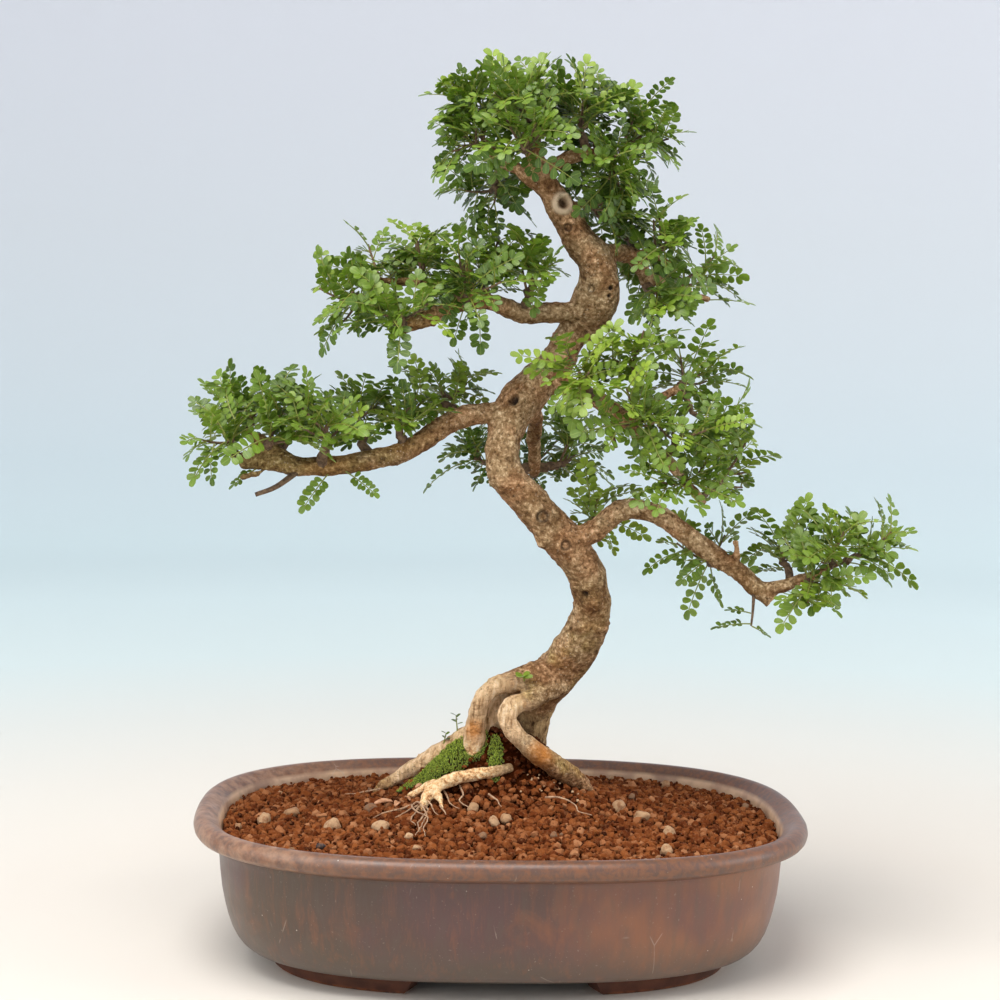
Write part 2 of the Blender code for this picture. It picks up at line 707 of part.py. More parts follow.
def main():
    """Build the whole bonsai."""
    clear_scene()
    stand = bpy.data.objects.new("bonsai", None)
    stand.location.x = POT_CENTRE_X * MM
    bpy.context.scene.collection.objects.link(stand)
    make_pot()
    make_screens()
    make_soil()
    make_leaves(make_tree())
    for obj in bpy.context.scene.objects:
        if obj is not stand:
            obj.parent = stand


main()
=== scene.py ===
"""Looks of a Chinese pepper bonsai in its oval pot of glazed clay.

Sizes are in millimetres and places are measured from the middle of the pot at its feet.
Both are turned into metres in the row frame where a mesh is made.
"""

import logging
import random
from dataclasses import dataclass, field
from enum import Enum
from math import atan2, copysign, cos, exp, hypot, pi, radians, sin, sqrt
from typing import Dict, Iterable, List, Optional, Sequence, Tuple

import bmesh
import bpy
import numpy as np
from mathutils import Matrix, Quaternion, Vector, kdtree, noise
from mathutils.bvhtree import BVHTree


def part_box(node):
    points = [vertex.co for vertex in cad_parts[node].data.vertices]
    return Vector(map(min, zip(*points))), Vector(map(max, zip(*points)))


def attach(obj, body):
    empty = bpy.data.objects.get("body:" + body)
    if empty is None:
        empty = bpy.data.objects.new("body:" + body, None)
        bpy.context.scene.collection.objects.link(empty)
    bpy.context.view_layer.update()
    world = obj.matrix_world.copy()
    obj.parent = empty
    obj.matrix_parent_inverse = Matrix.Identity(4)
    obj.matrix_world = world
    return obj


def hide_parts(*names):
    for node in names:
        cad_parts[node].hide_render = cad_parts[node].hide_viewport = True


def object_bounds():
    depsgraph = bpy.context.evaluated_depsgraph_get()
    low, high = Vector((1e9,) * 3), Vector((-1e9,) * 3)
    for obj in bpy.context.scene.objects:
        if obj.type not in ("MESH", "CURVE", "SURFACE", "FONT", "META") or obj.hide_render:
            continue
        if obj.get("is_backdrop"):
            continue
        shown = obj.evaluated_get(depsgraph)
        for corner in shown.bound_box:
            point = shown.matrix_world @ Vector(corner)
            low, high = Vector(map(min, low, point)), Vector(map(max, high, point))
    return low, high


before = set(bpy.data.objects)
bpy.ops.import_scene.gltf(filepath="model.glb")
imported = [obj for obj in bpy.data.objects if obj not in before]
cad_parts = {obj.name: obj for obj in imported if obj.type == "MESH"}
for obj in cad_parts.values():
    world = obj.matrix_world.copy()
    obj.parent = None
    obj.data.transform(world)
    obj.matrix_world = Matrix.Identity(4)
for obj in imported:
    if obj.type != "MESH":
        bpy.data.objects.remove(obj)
CAD_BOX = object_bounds()

LOG = logging.getLogger("bonsai")
MM = 0.001
BODY = "root"
FULL_TURN = 2 * pi
GOLDEN_ANGLE = radians(137.5)
POT_LOW, POT_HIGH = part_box("pot")
ORIGIN = Vector(((POT_LOW[0] + POT_HIGH[0]) / 2, (POT_LOW[1] + POT_HIGH[1]) / 2, POT_LOW[2]))

Place = Tuple[float, float, float]
Spot = Tuple[Place, float]
Station = Tuple[float, float, float, float]
Face = Tuple[int, ...]
Colour = Tuple[float, float, float]
Stops = Sequence[Tuple[float, Colour]]
Numbers = Tuple[float, ...]
Limb = Tuple[Station, ...]
Places = Sequence[Sequence[float]]
Setting = Tuple[Vector, Vector, Vector, Vector]
Range = Tuple[float, float]
Grain = Tuple[Vector, float, float]
Draw = random.Random
Socket = bpy.types.NodeSocket
Material = bpy.types.Material
Object = bpy.types.Object


class Slot(Enum):
    """Names of material slots, one given with each piece."""

    GLAZE = "pot_glaze"
    SOIL = "soil"
    BARK = "bark"
    LEAF = "leaf"
    SCREEN = "screen"


class Knot(Enum):
    """Kinds of mark on the bark."""

    HOLLOW = "hollow"
    CALLUS = "callus"
    BUD = "bud"
    BOSS = "boss"
    SCAR = "scar"


def row_place(place: Sequence[float]) -> Vector:
    """A place in millimetres from the pot's middle, in metres in the row frame."""
    return Vector(place[:3]) * MM + ORIGIN


def part_place(place: Vector) -> Vector:
    """A place in metres in the row frame, in millimetres from the pot's middle."""
    return (place - ORIGIN) / MM


def clamp(value: float) -> float:
    """A value kept from 0 to 1."""
    return min(1, max(0, value))


def turns(count: int) -> List[float]:
    """Angles of even steps round a circle."""
    return [FULL_TURN * k / count for k in range(count)]


def turned(first: Vector, second: Vector, angle: float) -> Vector:
    """A direction turned by an angle towards a second one that is square to it."""
    return first * cos(angle) + second * sin(angle)


def square_to(vector: Vector, axis: Vector) -> Vector:
    """The part of a vector that is square to an axis, at length 1."""
    return (vector - axis * vector.dot(axis)).normalized()


def middle_of(places: Places) -> Vector:
    """The mean of some places."""
    return sum((Vector(place) for place in places), Vector()) / len(places)


class Graph:
    """The node graph of one material, with short calls for the nodes that it uses."""

    def __init__(self, name: str) -> None:
        """Start a material that has only its shader.

        Args:
            name: name of the material.
        """
        self.result = bpy.data.materials.new(name)
        self.result.use_nodes = True
        self.nodes = self.result.node_tree.nodes
        self.links = self.result.node_tree.links
        self.shader = self.nodes["Principled BSDF"]

    def feed(self, socket: Socket, value: object) -> None:
        """Link a socket to another one, or set its value.

        Args:
            socket: the input to fill.
            value: an output socket, a number or a colour.
        """
        if isinstance(value, Socket):
            self.links.new(value, socket)
        else:
            socket.default_value = (*value, 1) if socket.type == "RGBA" else value

    def node(self, kind: str, output: object, inputs: Dict[object, object], **options: object) -> Socket:
        """Add a node.

        Args:
            kind: Blender's name of the node, without its first word.
            output: name or number of the output that is wanted.
            inputs: socket or value for each input, by its name or number.
            options: the node's other settings.

        Returns:
            The output.
        """
        node = self.nodes.new("ShaderNode" + kind)
        for key, value in options.items():
            setattr(node, key, value)
        for key, value in inputs.items():
            self.feed(node.inputs[key], value)
        return node.outputs[output]

    def paint(self, **values: object) -> Material:
        """Fill inputs of the shader.

        Args:
            values: socket or value for each input, by its name with _ for a space.

        Returns:
            The material.
        """
        for key, value in values.items():
            self.feed(self.shader.inputs[key.replace("_", " ").title().replace("Ior", "IOR")], value)
        return self.result

    def coords(self, stretch: Place = (1, 1, 1), shift: float = 0) -> Socket:
        """Object coordinates, scaled on each axis and moved by a distance in metres."""
        inputs = {"Vector": self.node("TexCoord", "Object", {}), "Scale": stretch, "Location": (shift,) * 3}
        return self.node("Mapping", "Vector", inputs)

    def noise(self, size: float, detail: float = 3, rough: float = 0.5, warp: float = 0,
              stretch: Place = (1, 1, 1), shift: float = 0) -> Socket:
        """Cloudy noise about 0.5, by the size of its largest patches and its finer layers."""
        inputs = {"Vector": self.coords(stretch, shift), "Scale": 1 / (size * MM), "Detail": detail}
        return self.node("TexNoise", "Fac", {**inputs, "Roughness": rough, "Distortion": warp})

    def cells(self, size: float, feature: str = "F1", shift: float = 0,
              stretch: Place = (1, 1, 1)) -> Socket:
        """Distance pattern of scattered cells of a size."""
        inputs = {"Vector": self.coords(stretch, shift), "Scale": 1 / (size * MM)}
        return self.node("TexVoronoi", "Distance", inputs, feature=feature)

    def mask(self, value: Socket, low: float, high: float, way: str = "SMOOTHSTEP") -> Socket:
        """A share that goes from 0 at one value to 1 at another, which may be the lower of the two."""
        inputs = {"Value": value, "From Min": low, "From Max": high}
        return self.node("MapRange", "Result", inputs, interpolation_type=way)

    def cloud(self, low: float, high: float, *pattern: object, **options: object) -> Socket:
        """A share that follows cloudy noise between two of its values."""
        return self.mask(self.noise(*pattern, **options), low, high)

    def times(self, first: object, second: object, operation: str = "MULTIPLY") -> Socket:
        """Two values multiplied, or combined another way, and kept from 0 to 1."""
        return self.node("Math", "Value", {0: first, 1: second}, operation=operation, use_clamp=True)

    def mix(self, share: object, low: object, high: object, way: str = "MIX") -> Socket:
        """A lower colour with a share of an upper one laid over it."""
        return self.node("Mix", 2, {0: share, 6: low, 7: high}, data_type="RGBA", blend_type=way)

    def ramp(self, value: Socket, stops: Stops) -> Socket:
        """Turn a value into a colour.

        Args:
            value: the value to look up.
            stops: positions with their colours.

        Returns:
            The colour.
        """
        colour = self.node("ValToRGB", "Color", {"Fac": value})
        elements = colour.node.color_ramp.elements
        while len(elements) < len(stops):
            elements.new(0.5)
        for element, (position, tint) in zip(elements, stops):
            element.position = position
            element.color = (*tint, 1)
        return colour

    def near(self, place: Place, radius: float, soft: float = 0.5, wobble: float = 0) -> Socket:
        """A share that is 1 around a place and 0 away from it.

        Args:
            place: the place.
            radius: its reach.
            soft: share of the radius over which it fades.
            wobble: unevenness of its edge.

        Returns:
            The share.
        """
        ends = {0: self.coords(), 1: row_place(place)}
        reach = self.node("VectorMath", "Value", ends, operation="DISTANCE")
        if wobble:
            inputs = {0: self.noise(radius * 0.6, 2), 1: 2 * wobble * MM, 2: reach}
            reach = self.node("Math", "Value", inputs, operation="MULTIPLY_ADD")
        return self.mask(reach, radius * MM, radius * (1 - soft) * MM)

    def axis(self, name: str) -> Socket:
        """One of the object coordinates X, Y or Z, in metres."""
        return self.node("SeparateXYZ", name, {0: self.coords()})

    def distance(self) -> Socket:
        """Distance from the middle of the part's foot in metres."""
        return self.node("VectorMath", "Value", {0: self.coords()}, operation="LENGTH")

    def facing_up(self) -> Socket:
        """How far the surface faces up, from -1 to 1."""
        return self.node("SeparateXYZ", "Z", {0: self.node("NewGeometry", "Normal", {})})

    def attribute(self, name: str) -> Tuple[Socket, ...]:
        """The three parts of a vector attribute of the mesh."""
        vector = self.node("Attribute", "Vector", {}, attribute_name=name)
        return tuple(self.node("SeparateXYZ", "X", {0: vector}).node.outputs)

    def relief(self, height: Socket, depth: float, strength: float = 1) -> None:
        """Add a bump over any that the shader already has.

        Args:
            height: the height pattern.
            depth: its depth.
            strength: share of the effect.
        """
        inputs = {"Distance": depth * MM, "Strength": strength, "Height": height}
        old = self.shader.inputs["Normal"]
        if old.is_linked:
            inputs["Normal"] = old.links[0].from_socket
        self.links.new(self.node("Bump", "Normal", inputs), old)


@dataclass(frozen=True)
class GlazeFinish:
    """Satin glaze that runs from grey-brown over violet to orange-brown, with a redder lip.

    Reaches along the length and the height are in metres from the middle of the pot's foot.
    """

    change: Range = (-0.17, 0.125)
    haze: Range = (0.036, 0.012)
    lip_foot: Range = (0.0595, 0.0625)
    # Where the lip turns lighter towards its left end: rubbed glaze that also serves as a painted
    # highlight.
    rubbed: Range = (-0.075, -0.15)
    along: Stops = (
        (0, (0.086, 0.052, 0.032)), (0.22, (0.071, 0.044, 0.029)), (0.45, (0.083, 0.042, 0.033)),
        (0.6, (0.108, 0.047, 0.037)), (0.78, (0.245, 0.096, 0.042)), (1, (0.108, 0.056, 0.032)),
    )
    orange: Colour = (0.25, 0.085, 0.03)
    grey: Colour = (0.092, 0.067, 0.049)
    violet: Colour = (0.098, 0.043, 0.045)
    lip: Colour = (0.185, 0.074, 0.034)
    lip_shade: Colour = (0.105, 0.054, 0.038)
    # Lighter lip colour: partly rubbed glaze, partly a painted highlight.
    lip_worn_and_highlight: Colour = (0.36, 0.205, 0.125)
    inside: Colour = (0.64, 0.43, 0.27)
    inside_shade: Colour = (0.34, 0.2, 0.13)
    scuff: Colour = (0.45, 0.38, 0.32)

    def wall(self, graph: Graph) -> Socket:
        """Paint the outer wall: its long change of colour, patches and runs.

        Args:
            graph: the glaze's nodes.

        Returns:
            The colour.
        """
        share = graph.mask(graph.axis("X"), *self.change, "LINEAR")
        share = graph.times(share, graph.times(graph.noise(70, 3, 0.55, 0.5, (1, 1, 1.3)), 0.5), "ADD")
        wall = graph.ramp(graph.times(share, 0.25, "SUBTRACT"), self.along)
        streaks = graph.noise(4, 4, 0.65, 0.2, (1, 1, 0.14), 0.12)
        for share, most, tint in (
                (graph.cloud(0.46, 0.66, 55, 2, shift=0.31), 0.6, self.violet),
                (graph.cloud(0.55, 0.72, 26, 4, 0.6, 0.8, (1, 1, 0.7), 0.23), 0.35, self.orange),
                (graph.mask(graph.axis("Z"), *self.haze), 0.75, self.grey),
                (graph.mask(streaks, 0.48, 0.74), 0.3, self.orange),
                (graph.mask(streaks, 0.52, 0.3), 0.35, self.grey)):
            wall = graph.mix(graph.times(share, most), wall, tint)
        return wall

    def material(self) -> Material:
        """Make the glaze.

        Returns:
            The material.
        """
        graph = Graph("glaze")
        lip = graph.mix(graph.cloud(0.38, 0.62, 3.2, 5, 0.7, 0.4, (1, 1, 0.8)), self.lip_shade, self.lip)
        # Lighter patches on the lip's left end: partly wear, partly a painted highlight.
        rubbed = graph.mask(graph.axis("X"), *self.rubbed)
        rubbed = graph.times(rubbed, graph.cloud(0.3, 0.75, 6, 4, 0.6, shift=0.6))
        lip = graph.mix(rubbed, lip, self.lip_worn_and_highlight)
        colour = graph.mix(graph.mask(graph.axis("Z"), *self.lip_foot), self.wall(graph), lip)
        inner = graph.mix(graph.cloud(0.35, 0.7, 14, 4), self.inside, self.inside_shade)
        colour = graph.mix(graph.attribute("part")[0], colour, inner)
        specks = graph.mask(graph.cells(8, shift=0.07), 0.05, 0.025)
        specks = graph.times(specks, graph.cloud(0.48, 0.56, 26, 1))
        scratches = graph.mask(graph.cells(30, "DISTANCE_TO_EDGE", 0.9, (1, 1, 0.35)), 0.008, 0.003)
        scratches = graph.times(scratches, graph.cloud(0.6, 0.66, 17, 2, shift=0.8))
        dust = graph.times(graph.cloud(0.66, 0.8, 1.1, 2, shift=0.5), scratches, "ADD")
        marks = graph.times(specks, graph.times(dust, 0.3), "ADD")
        rough = graph.ramp(graph.noise(26, 4, 0.6), ((0.3, (0.36,) * 3), (0.7, (0.54,) * 3)))
        graph.relief(graph.noise(2.2, 4), 0.12, 0.5)
        graph.relief(graph.noise(24, 2, stretch=(1, 1, 2.5)), 0.5, 0.35)
        colour = graph.mix(marks, colour, self.scuff)
        return graph.paint(base_color=colour, roughness=rough, coat_weight=0.2, coat_roughness=0.28)


@dataclass(frozen=True)
class BareClayFinish:
    """Unglazed red-brown clay with a rubbed lower edge."""

    dark: Colour = (0.07, 0.023, 0.012)
    body: Colour = (0.125, 0.04, 0.02)
    edge: Colour = (0.26, 0.085, 0.03)
    rubbed: Range = (0.0022, 0.0004)

    def material(self) -> Material:
        """Make the clay.

        Returns:
            The material.
        """
        graph = Graph("bare_clay")
        colour = graph.mix(graph.cloud(0.35, 0.65, 9, 4), self.dark, self.body)
        rim = graph.times(graph.mask(graph.axis("Z"), *self.rubbed), graph.cloud(0.35, 0.55, 5, 3))
        graph.relief(graph.noise(1.2, 4), 0.15, 0.7)
        return graph.paint(base_color=graph.mix(rim, colour, self.edge), roughness=0.78)


@dataclass(frozen=True)
class GrainFinish:
    """Baked clay grains, each with its own shade, under a little dust."""

    shades: Stops = (
        (0, (0.03, 0.005, 0.001)), (0.35, (0.11, 0.024, 0.005)), (0.7, (0.232, 0.07, 0.019)),
        (1, (0.37, 0.165, 0.075)),
    )
    dust: Colour = (0.34, 0.155, 0.07)

    def material(self) -> Material:
        """Make the grains.

        Returns:
            The material.
        """
        graph = Graph("clay_grains")
        colour = graph.ramp(graph.attribute("shade")[0], self.shades)
        colour = graph.mix(graph.times(graph.cloud(0.47, 0.78, 1.6, 4, 0.65), 0.6), colour, self.dust)
        graph.relief(graph.noise(0.8, 4, 0.65), 0.3, 0.8)
        return graph.paint(base_color=colour, roughness=0.95, specular_ior_level=0.08)


@dataclass(frozen=True)
class PebbleFinish:
    """Pale pumice and grey grit among the clay grains."""

    shades: Stops = (
        (0, (0.02, 0.02, 0.025)), (0.2, (0.13, 0.07, 0.04)), (0.6, (0.35, 0.19, 0.09)),
        (1, (0.56, 0.375, 0.215)),
    )
    stain: Colour = (0.25, 0.105, 0.04)

    def material(self) -> Material:
        """Make the pebbles.

        Returns:
            The material.
        """
        graph = Graph("pebbles")
        colour = graph.ramp(graph.attribute("shade")[0], self.shades)
        colour = graph.mix(graph.times(graph.cloud(0.44, 0.68, 2.6, 4, 0.6), 0.8), colour, self.stain)
        graph.relief(graph.cells(1.3), 0.35, 0.6)
        return graph.paint(base_color=colour, roughness=0.85)


@dataclass(frozen=True)
class EarthAndGapShadeFinish:
    """Dark earth that shows between the grains; its near-black tone is painted shade in the gaps."""

    # Both tones are kept near black as painted shade between the grains.
    dark: Colour = (0.018, 0.004, 0.001)
    light: Colour = (0.055, 0.012, 0.003)

    def material(self) -> Material:
        """Make the earth.

        Returns:
            The material.
        """
        graph = Graph("earth")
        graph.relief(graph.noise(1.5, 4, 0.6), 0.8, 1)
        colour = graph.mix(graph.noise(3, 4, 0.6), self.dark, self.light)
        return graph.paint(base_color=colour, roughness=1, specular_ior_level=0)


@dataclass(frozen=True)
class BarkFinish:
    """Speckled tan bark, olive on the branches, green algae low down, pale roots and cuts; painted shade
    below and in knot holes.
    """

    grain: Stops = (
        (0.31, (0.12, 0.066, 0.027)), (0.43, (0.32, 0.196, 0.094)), (0.56, (0.51, 0.338, 0.178)),
        (0.68, (0.86, 0.655, 0.425)),
    )
    leg_grain: Stops = (
        (0.34, (0.3, 0.165, 0.072)), (0.46, (0.68, 0.44, 0.24)), (0.56, (0.88, 0.62, 0.37)),
        (0.68, (0.96, 0.76, 0.53)),
    )
    root_grain: Stops = (
        (0.34, (0.33, 0.14, 0.052)), (0.45, (0.79, 0.45, 0.205)), (0.56, (0.96, 0.69, 0.38)),
        (0.68, (1, 0.83, 0.57)),
    )
    stump_grain: Stops = (
        (0.34, (0.085, 0.045, 0.018)), (0.46, (0.34, 0.2, 0.09)), (0.6, (0.61, 0.4, 0.19)),
    )
    rose: Colour = (1, 0.8, 0.72)
    brown: Colour = (0.47, 0.36, 0.25)
    # Painted shade laid over bark that faces down.
    under: Colour = (0.48, 0.38, 0.27)
    algae: Colour = (0.78, 0.8, 0.46)
    olive: Colour = (0.62, 0.62, 0.4)
    umber: Colour = (0.05, 0.028, 0.014)
    # Near-black painted shade inside the knot holes.
    hollow: Colour = (0.022, 0.012, 0.007)
    orange: Colour = (0.6, 0.22, 0.04)
    cut: Colour = (0.74, 0.54, 0.36)
    speck: Colour = (0.72, 0.56, 0.38)
    low_down: Range = (0.21, 0.12)
    far_left: Range = (-0.045, -0.075)
    surface_root: Spot = ((-24, 2, 78), 34)
    stump: Spot = ((20, 47, 90), 32)
    leg_places: Tuple[Spot, ...] = (((-8, 12, 112), 36), ((-42, 28, 86), 30))
    orange_places: Tuple[Spot, ...] = (((20, 4, 97), 14), ((-13, 12, 107), 12), ((-4, 8, 117), 5))
    cut_places: Tuple[Spot, ...] = (
        ((-53, -22, 308), 4.2), ((130.5, -18, 177.5), 4.6), ((26, -6, 298), 3), ((-22, -15, 342), 3.2),
        ((-38, 1, 72), 3), ((49, 27, 71), 4),
    )

    def tinted(self, graph: Graph, colour: Socket) -> Socket:
        """Tint the bark in wide patches, low down and on the left branches, and darken its underside as
        painted shade.

        Args:
            graph: the bark's nodes.
            colour: the plain bark.

        Returns:
            The colour.
        """
        low_down = graph.mask(graph.axis("Z"), *self.low_down)
        far_left = graph.mask(graph.axis("X"), *self.far_left)
        # The underside tint is painted shade: bark facing down is darkened.
        for share, most, tint in (
                (graph.cloud(0.4, 0.6, 24, 3, 0.55), 0.8, self.rose),
                (graph.cloud(0.47, 0.63, 14, 6, 0.62, 0.8), 0.8, self.brown),
                (graph.mask(graph.facing_up(), 0.1, -0.9), 0.7, self.under),
                (graph.times(low_down, graph.cloud(0.44, 0.62, 15, 4, 0.6, shift=0.2)), 0.75, self.algae),
                (graph.times(far_left, graph.cloud(0.28, 0.52, 18, 3, shift=0.7)), 0.9, self.olive)):
            colour = graph.mix(graph.times(share, most), colour, tint, "MULTIPLY")
        return colour

    def material(self) -> Material:
        """Make the bark.

        Returns:
            The material.
        """
        graph = Graph("bark")
        fine = graph.noise(1.9, 4.5, 0.61, 0.3, shift=0.1)
        fibres = graph.noise(2.4, 5, 0.66, 0.3, (1, 1, 0.16))
        colour = self.tinted(graph, graph.ramp(fine, self.grain))
        leg = graph.ramp(fibres, self.leg_grain)
        for spot in self.leg_places:
            colour = graph.mix(graph.times(graph.near(*spot, 0.45, 5), 0.9), colour, leg)
        pale = graph.near(*self.surface_root, 0.3, 4)
        colour = graph.mix(pale, colour, graph.ramp(fine, self.root_grain))
        colour = graph.mix(graph.near(*self.stump, 0.25), colour, graph.ramp(fibres, self.stump_grain))
        for spot in self.orange_places:
            colour = graph.mix(graph.times(graph.near(*spot, 0.7, 3), 0.8), colour, self.orange)
        dark = graph.cloud(0.57, 0.66, 1.5, 4, 0.7, 0.6, shift=0.4)
        dark = graph.times(dark, graph.cloud(0.42, 0.6, 11, 3, shift=0.9))
        colour = graph.mix(graph.times(dark, 0.75), colour, self.umber)
        dots = graph.mask(graph.cells(1.9, shift=0.15), 0.28, 0.15)
        dots = graph.times(dots, graph.cloud(0.45, 0.6, 12, 2, shift=0.6))
        colour = graph.mix(graph.times(dots, 0.4), colour, self.speck)
        # Knot holes and creases get painted shade; cut faces are pale.
        knot_shade_and_cut = graph.attribute("knot_shade_and_cut")
        colour = graph.mix(knot_shade_and_cut[1], graph.mix(knot_shade_and_cut[0], colour, self.hollow), self.cut)
        for spot in self.cut_places:
            colour = graph.mix(graph.near(*spot, 0.3, 0.8), colour, self.cut)
        graph.relief(graph.noise(1.4, 5, 0.7), 0.8, 1)
        graph.relief(graph.noise(5, 4, 0.6, 0.6), 2, 1)
        graph.relief(graph.noise(2.6, 3, 0.6, 0.8, (0.35, 0.35, 1), 0.3), 1.1, 0.9)
        rough = graph.ramp(graph.noise(4, 3), ((0.3, (0.72,) * 3), (0.7, (0.9,) * 3)))
        return graph.paint(base_color=colour, specular_ior_level=0.22, roughness=rough)


@dataclass(frozen=True)
class LeafFinish:
    """Thin waxy blades from yellow-green when young to deep green, with a pale midrib; the deep end also
    carries painted shade.
    """

    young: Colour = (0.22, 0.31, 0.024)
    fresh: Colour = (0.122, 0.2, 0.014)
    grown: Colour = (0.058, 0.11, 0.009)
    deep: Colour = (0.014, 0.035, 0.004)
    rib: Colour = (0.26, 0.32, 0.06)
    under: Colour = (0.14, 0.19, 0.038)
    stalk: Colour = (0.2, 0.22, 0.035)

    def material(self) -> Material:
        """Make the leaves and their stalks.

        Returns:
            The material.
        """
        graph = Graph("leaf")
        tone, across, side = graph.attribute("blade")
        colour = graph.ramp(tone, ((0, self.young), (0.33, self.fresh), (0.68, self.grown), (1, self.deep)))
        colour = graph.mix(graph.times(graph.cloud(0.35, 0.75, 2.2, 3), 0.25), colour, self.fresh)
        colour = graph.mix(graph.times(side, 0.6), colour, self.under)
        colour = graph.mix(graph.times(graph.mask(across, 0.16, 0.02), 0.45), colour, self.rib)
        colour = graph.mix(graph.mask(across, -0.4, -0.6), colour, self.stalk)
        graph.relief(graph.noise(1, 3), 0.12, 0.5)
        return graph.paint(base_color=colour, roughness=0.44, specular_ior_level=0.42,
                           subsurface_weight=0.1, subsurface_scale=0.002, subsurface_radius=(0.5, 1, 0.1))


@dataclass(frozen=True)
class MossFinish:
    """Short moss, bright at its tips and dark at its foot."""

    foot: Colour = (0.03, 0.024, 0.008)
    green: Colour = (0.12, 0.185, 0.016)
    tip: Colour = (0.55, 0.66, 0.07)

    def material(self) -> Material:
        """Make the moss.

        Returns:
            The material.
        """
        graph = Graph("moss")
        tall, shade, _ = graph.attribute("blade")
        colour = graph.ramp(tall, ((0, self.foot), (0.5, self.green), (1, self.tip)))
        graph.relief(graph.noise(0.7, 2), 0.2, 0.5)
        return graph.paint(base_color=graph.mix(shade, colour, self.foot), roughness=0.8)


@dataclass(frozen=True)
class PlainFinish:
    """A small piece's finish: two tones in fine patches."""

    name: str
    light: Colour
    dark: Colour
    size: float = 2
    roughness: float = 0.7
    depth: float = 0.2

    def material(self) -> Material:
        """Make the finish.

        Returns:
            The material.
        """
        graph = Graph(self.name)
        colour = graph.mix(graph.cloud(0.35, 0.65, self.size, 4, 0.6), self.light, self.dark)
        graph.relief(graph.noise(self.size * 0.5, 3), self.depth, 0.7)
        return graph.paint(base_color=colour, roughness=self.roughness)


@dataclass(frozen=True)
class SweepFinish:
    """Matt warm white floor turning into a pale blue wall further away, with painted light to the right.
    Reaches are in metres.
    """

    reach: Range = (0.3, 2.9)
    sides: Range = (-0.9, 0.9)
    stops: Stops = (
        (0, (0.705, 0.665, 0.605)), (0.065, (0.71, 0.695, 0.645)), (0.14, (0.71, 0.74, 0.71)),
        (0.247, (0.72, 0.835, 0.835)), (0.4, (0.776, 0.92, 0.934)), (0.59, (0.783, 0.935, 0.958)),
        (0.7, (0.744, 0.862, 0.9)), (0.85, (0.77, 0.814, 0.85)), (1, (0.81, 0.785, 0.845)),
    )
    # Painted light: the floor and wall are brightened towards the right.
    right: Colour = (1.12, 1.11, 1.1)

    def material(self) -> Material:
        """Make the backdrop.

        Returns:
            The material.
        """
        graph = Graph("sweep")
        colour = graph.ramp(graph.mask(graph.distance(), *self.reach, "LINEAR"), self.stops)
        # Painted light that brightens the backdrop towards the right.
        across = graph.mask(graph.axis("X"), *self.sides, "LINEAR")
        colour = graph.mix(across, colour, self.right, "MULTIPLY")
        return graph.paint(base_color=colour, roughness=0.95, specular_ior_level=0.1)


def add_attribute(obj: Object, name: str, values: np.ndarray) -> None:
    """Give each vertex a row of three numbers, which the material reads by their name."""
    attribute = obj.data.attributes.new(name, "FLOAT_VECTOR", "POINT")
    attribute.data.foreach_set("vector", np.ascontiguousarray(values, dtype=np.float32).ravel())


def add_piece(obj: Object, slot: Slot, *nodes: str) -> None:
    """Hand a finished piece to the part.

    Args:
        obj: the piece.
        slot: not used.
        nodes: CAD nodes that the piece stands for.
    """
    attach(obj, BODY)
    if nodes:
        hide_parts(*nodes)
    LOG.info("%s: %d faces, for %s", obj.name, len(obj.data.polygons), ", ".join(nodes) or "no node")


def apply_modifiers(obj: Object) -> None:
    """Keep the evaluated mesh and drop the modifiers.

    Args:
        obj: the object to change.
    """
    mesh = bpy.data.meshes.new_from_object(obj.evaluated_get(bpy.context.evaluated_depsgraph_get()))
    obj.modifiers.clear()
    obj.data = mesh


def smooth_path(stations: Places, step: float) -> List[Vector]:
    """Points with their radii on a smooth curve through the stations.

    Args:
        stations: places with radii.
        step: about how far apart the points are.

    Returns:
        Vectors of four numbers.
    """
    points = [Vector(s) for s in stations]
    padded = [points[0] * 2 - points[1]] + points + [points[-1] * 2 - points[-2]]
    path = []
    for i in range(1, len(padded) - 2):
        a, b, c, d = padded[i - 1:i + 3]
        count = max(1, round((c.xyz - b.xyz).length / step))
        for k in range(count):
            t = k / count
            path.append(0.5 * (2 * b + (c - a) * t + (2 * a - 5 * b + 4 * c - d) * t * t
                               + (3 * b - a - 3 * c + d) * t ** 3))
    return path + [points[-1]]


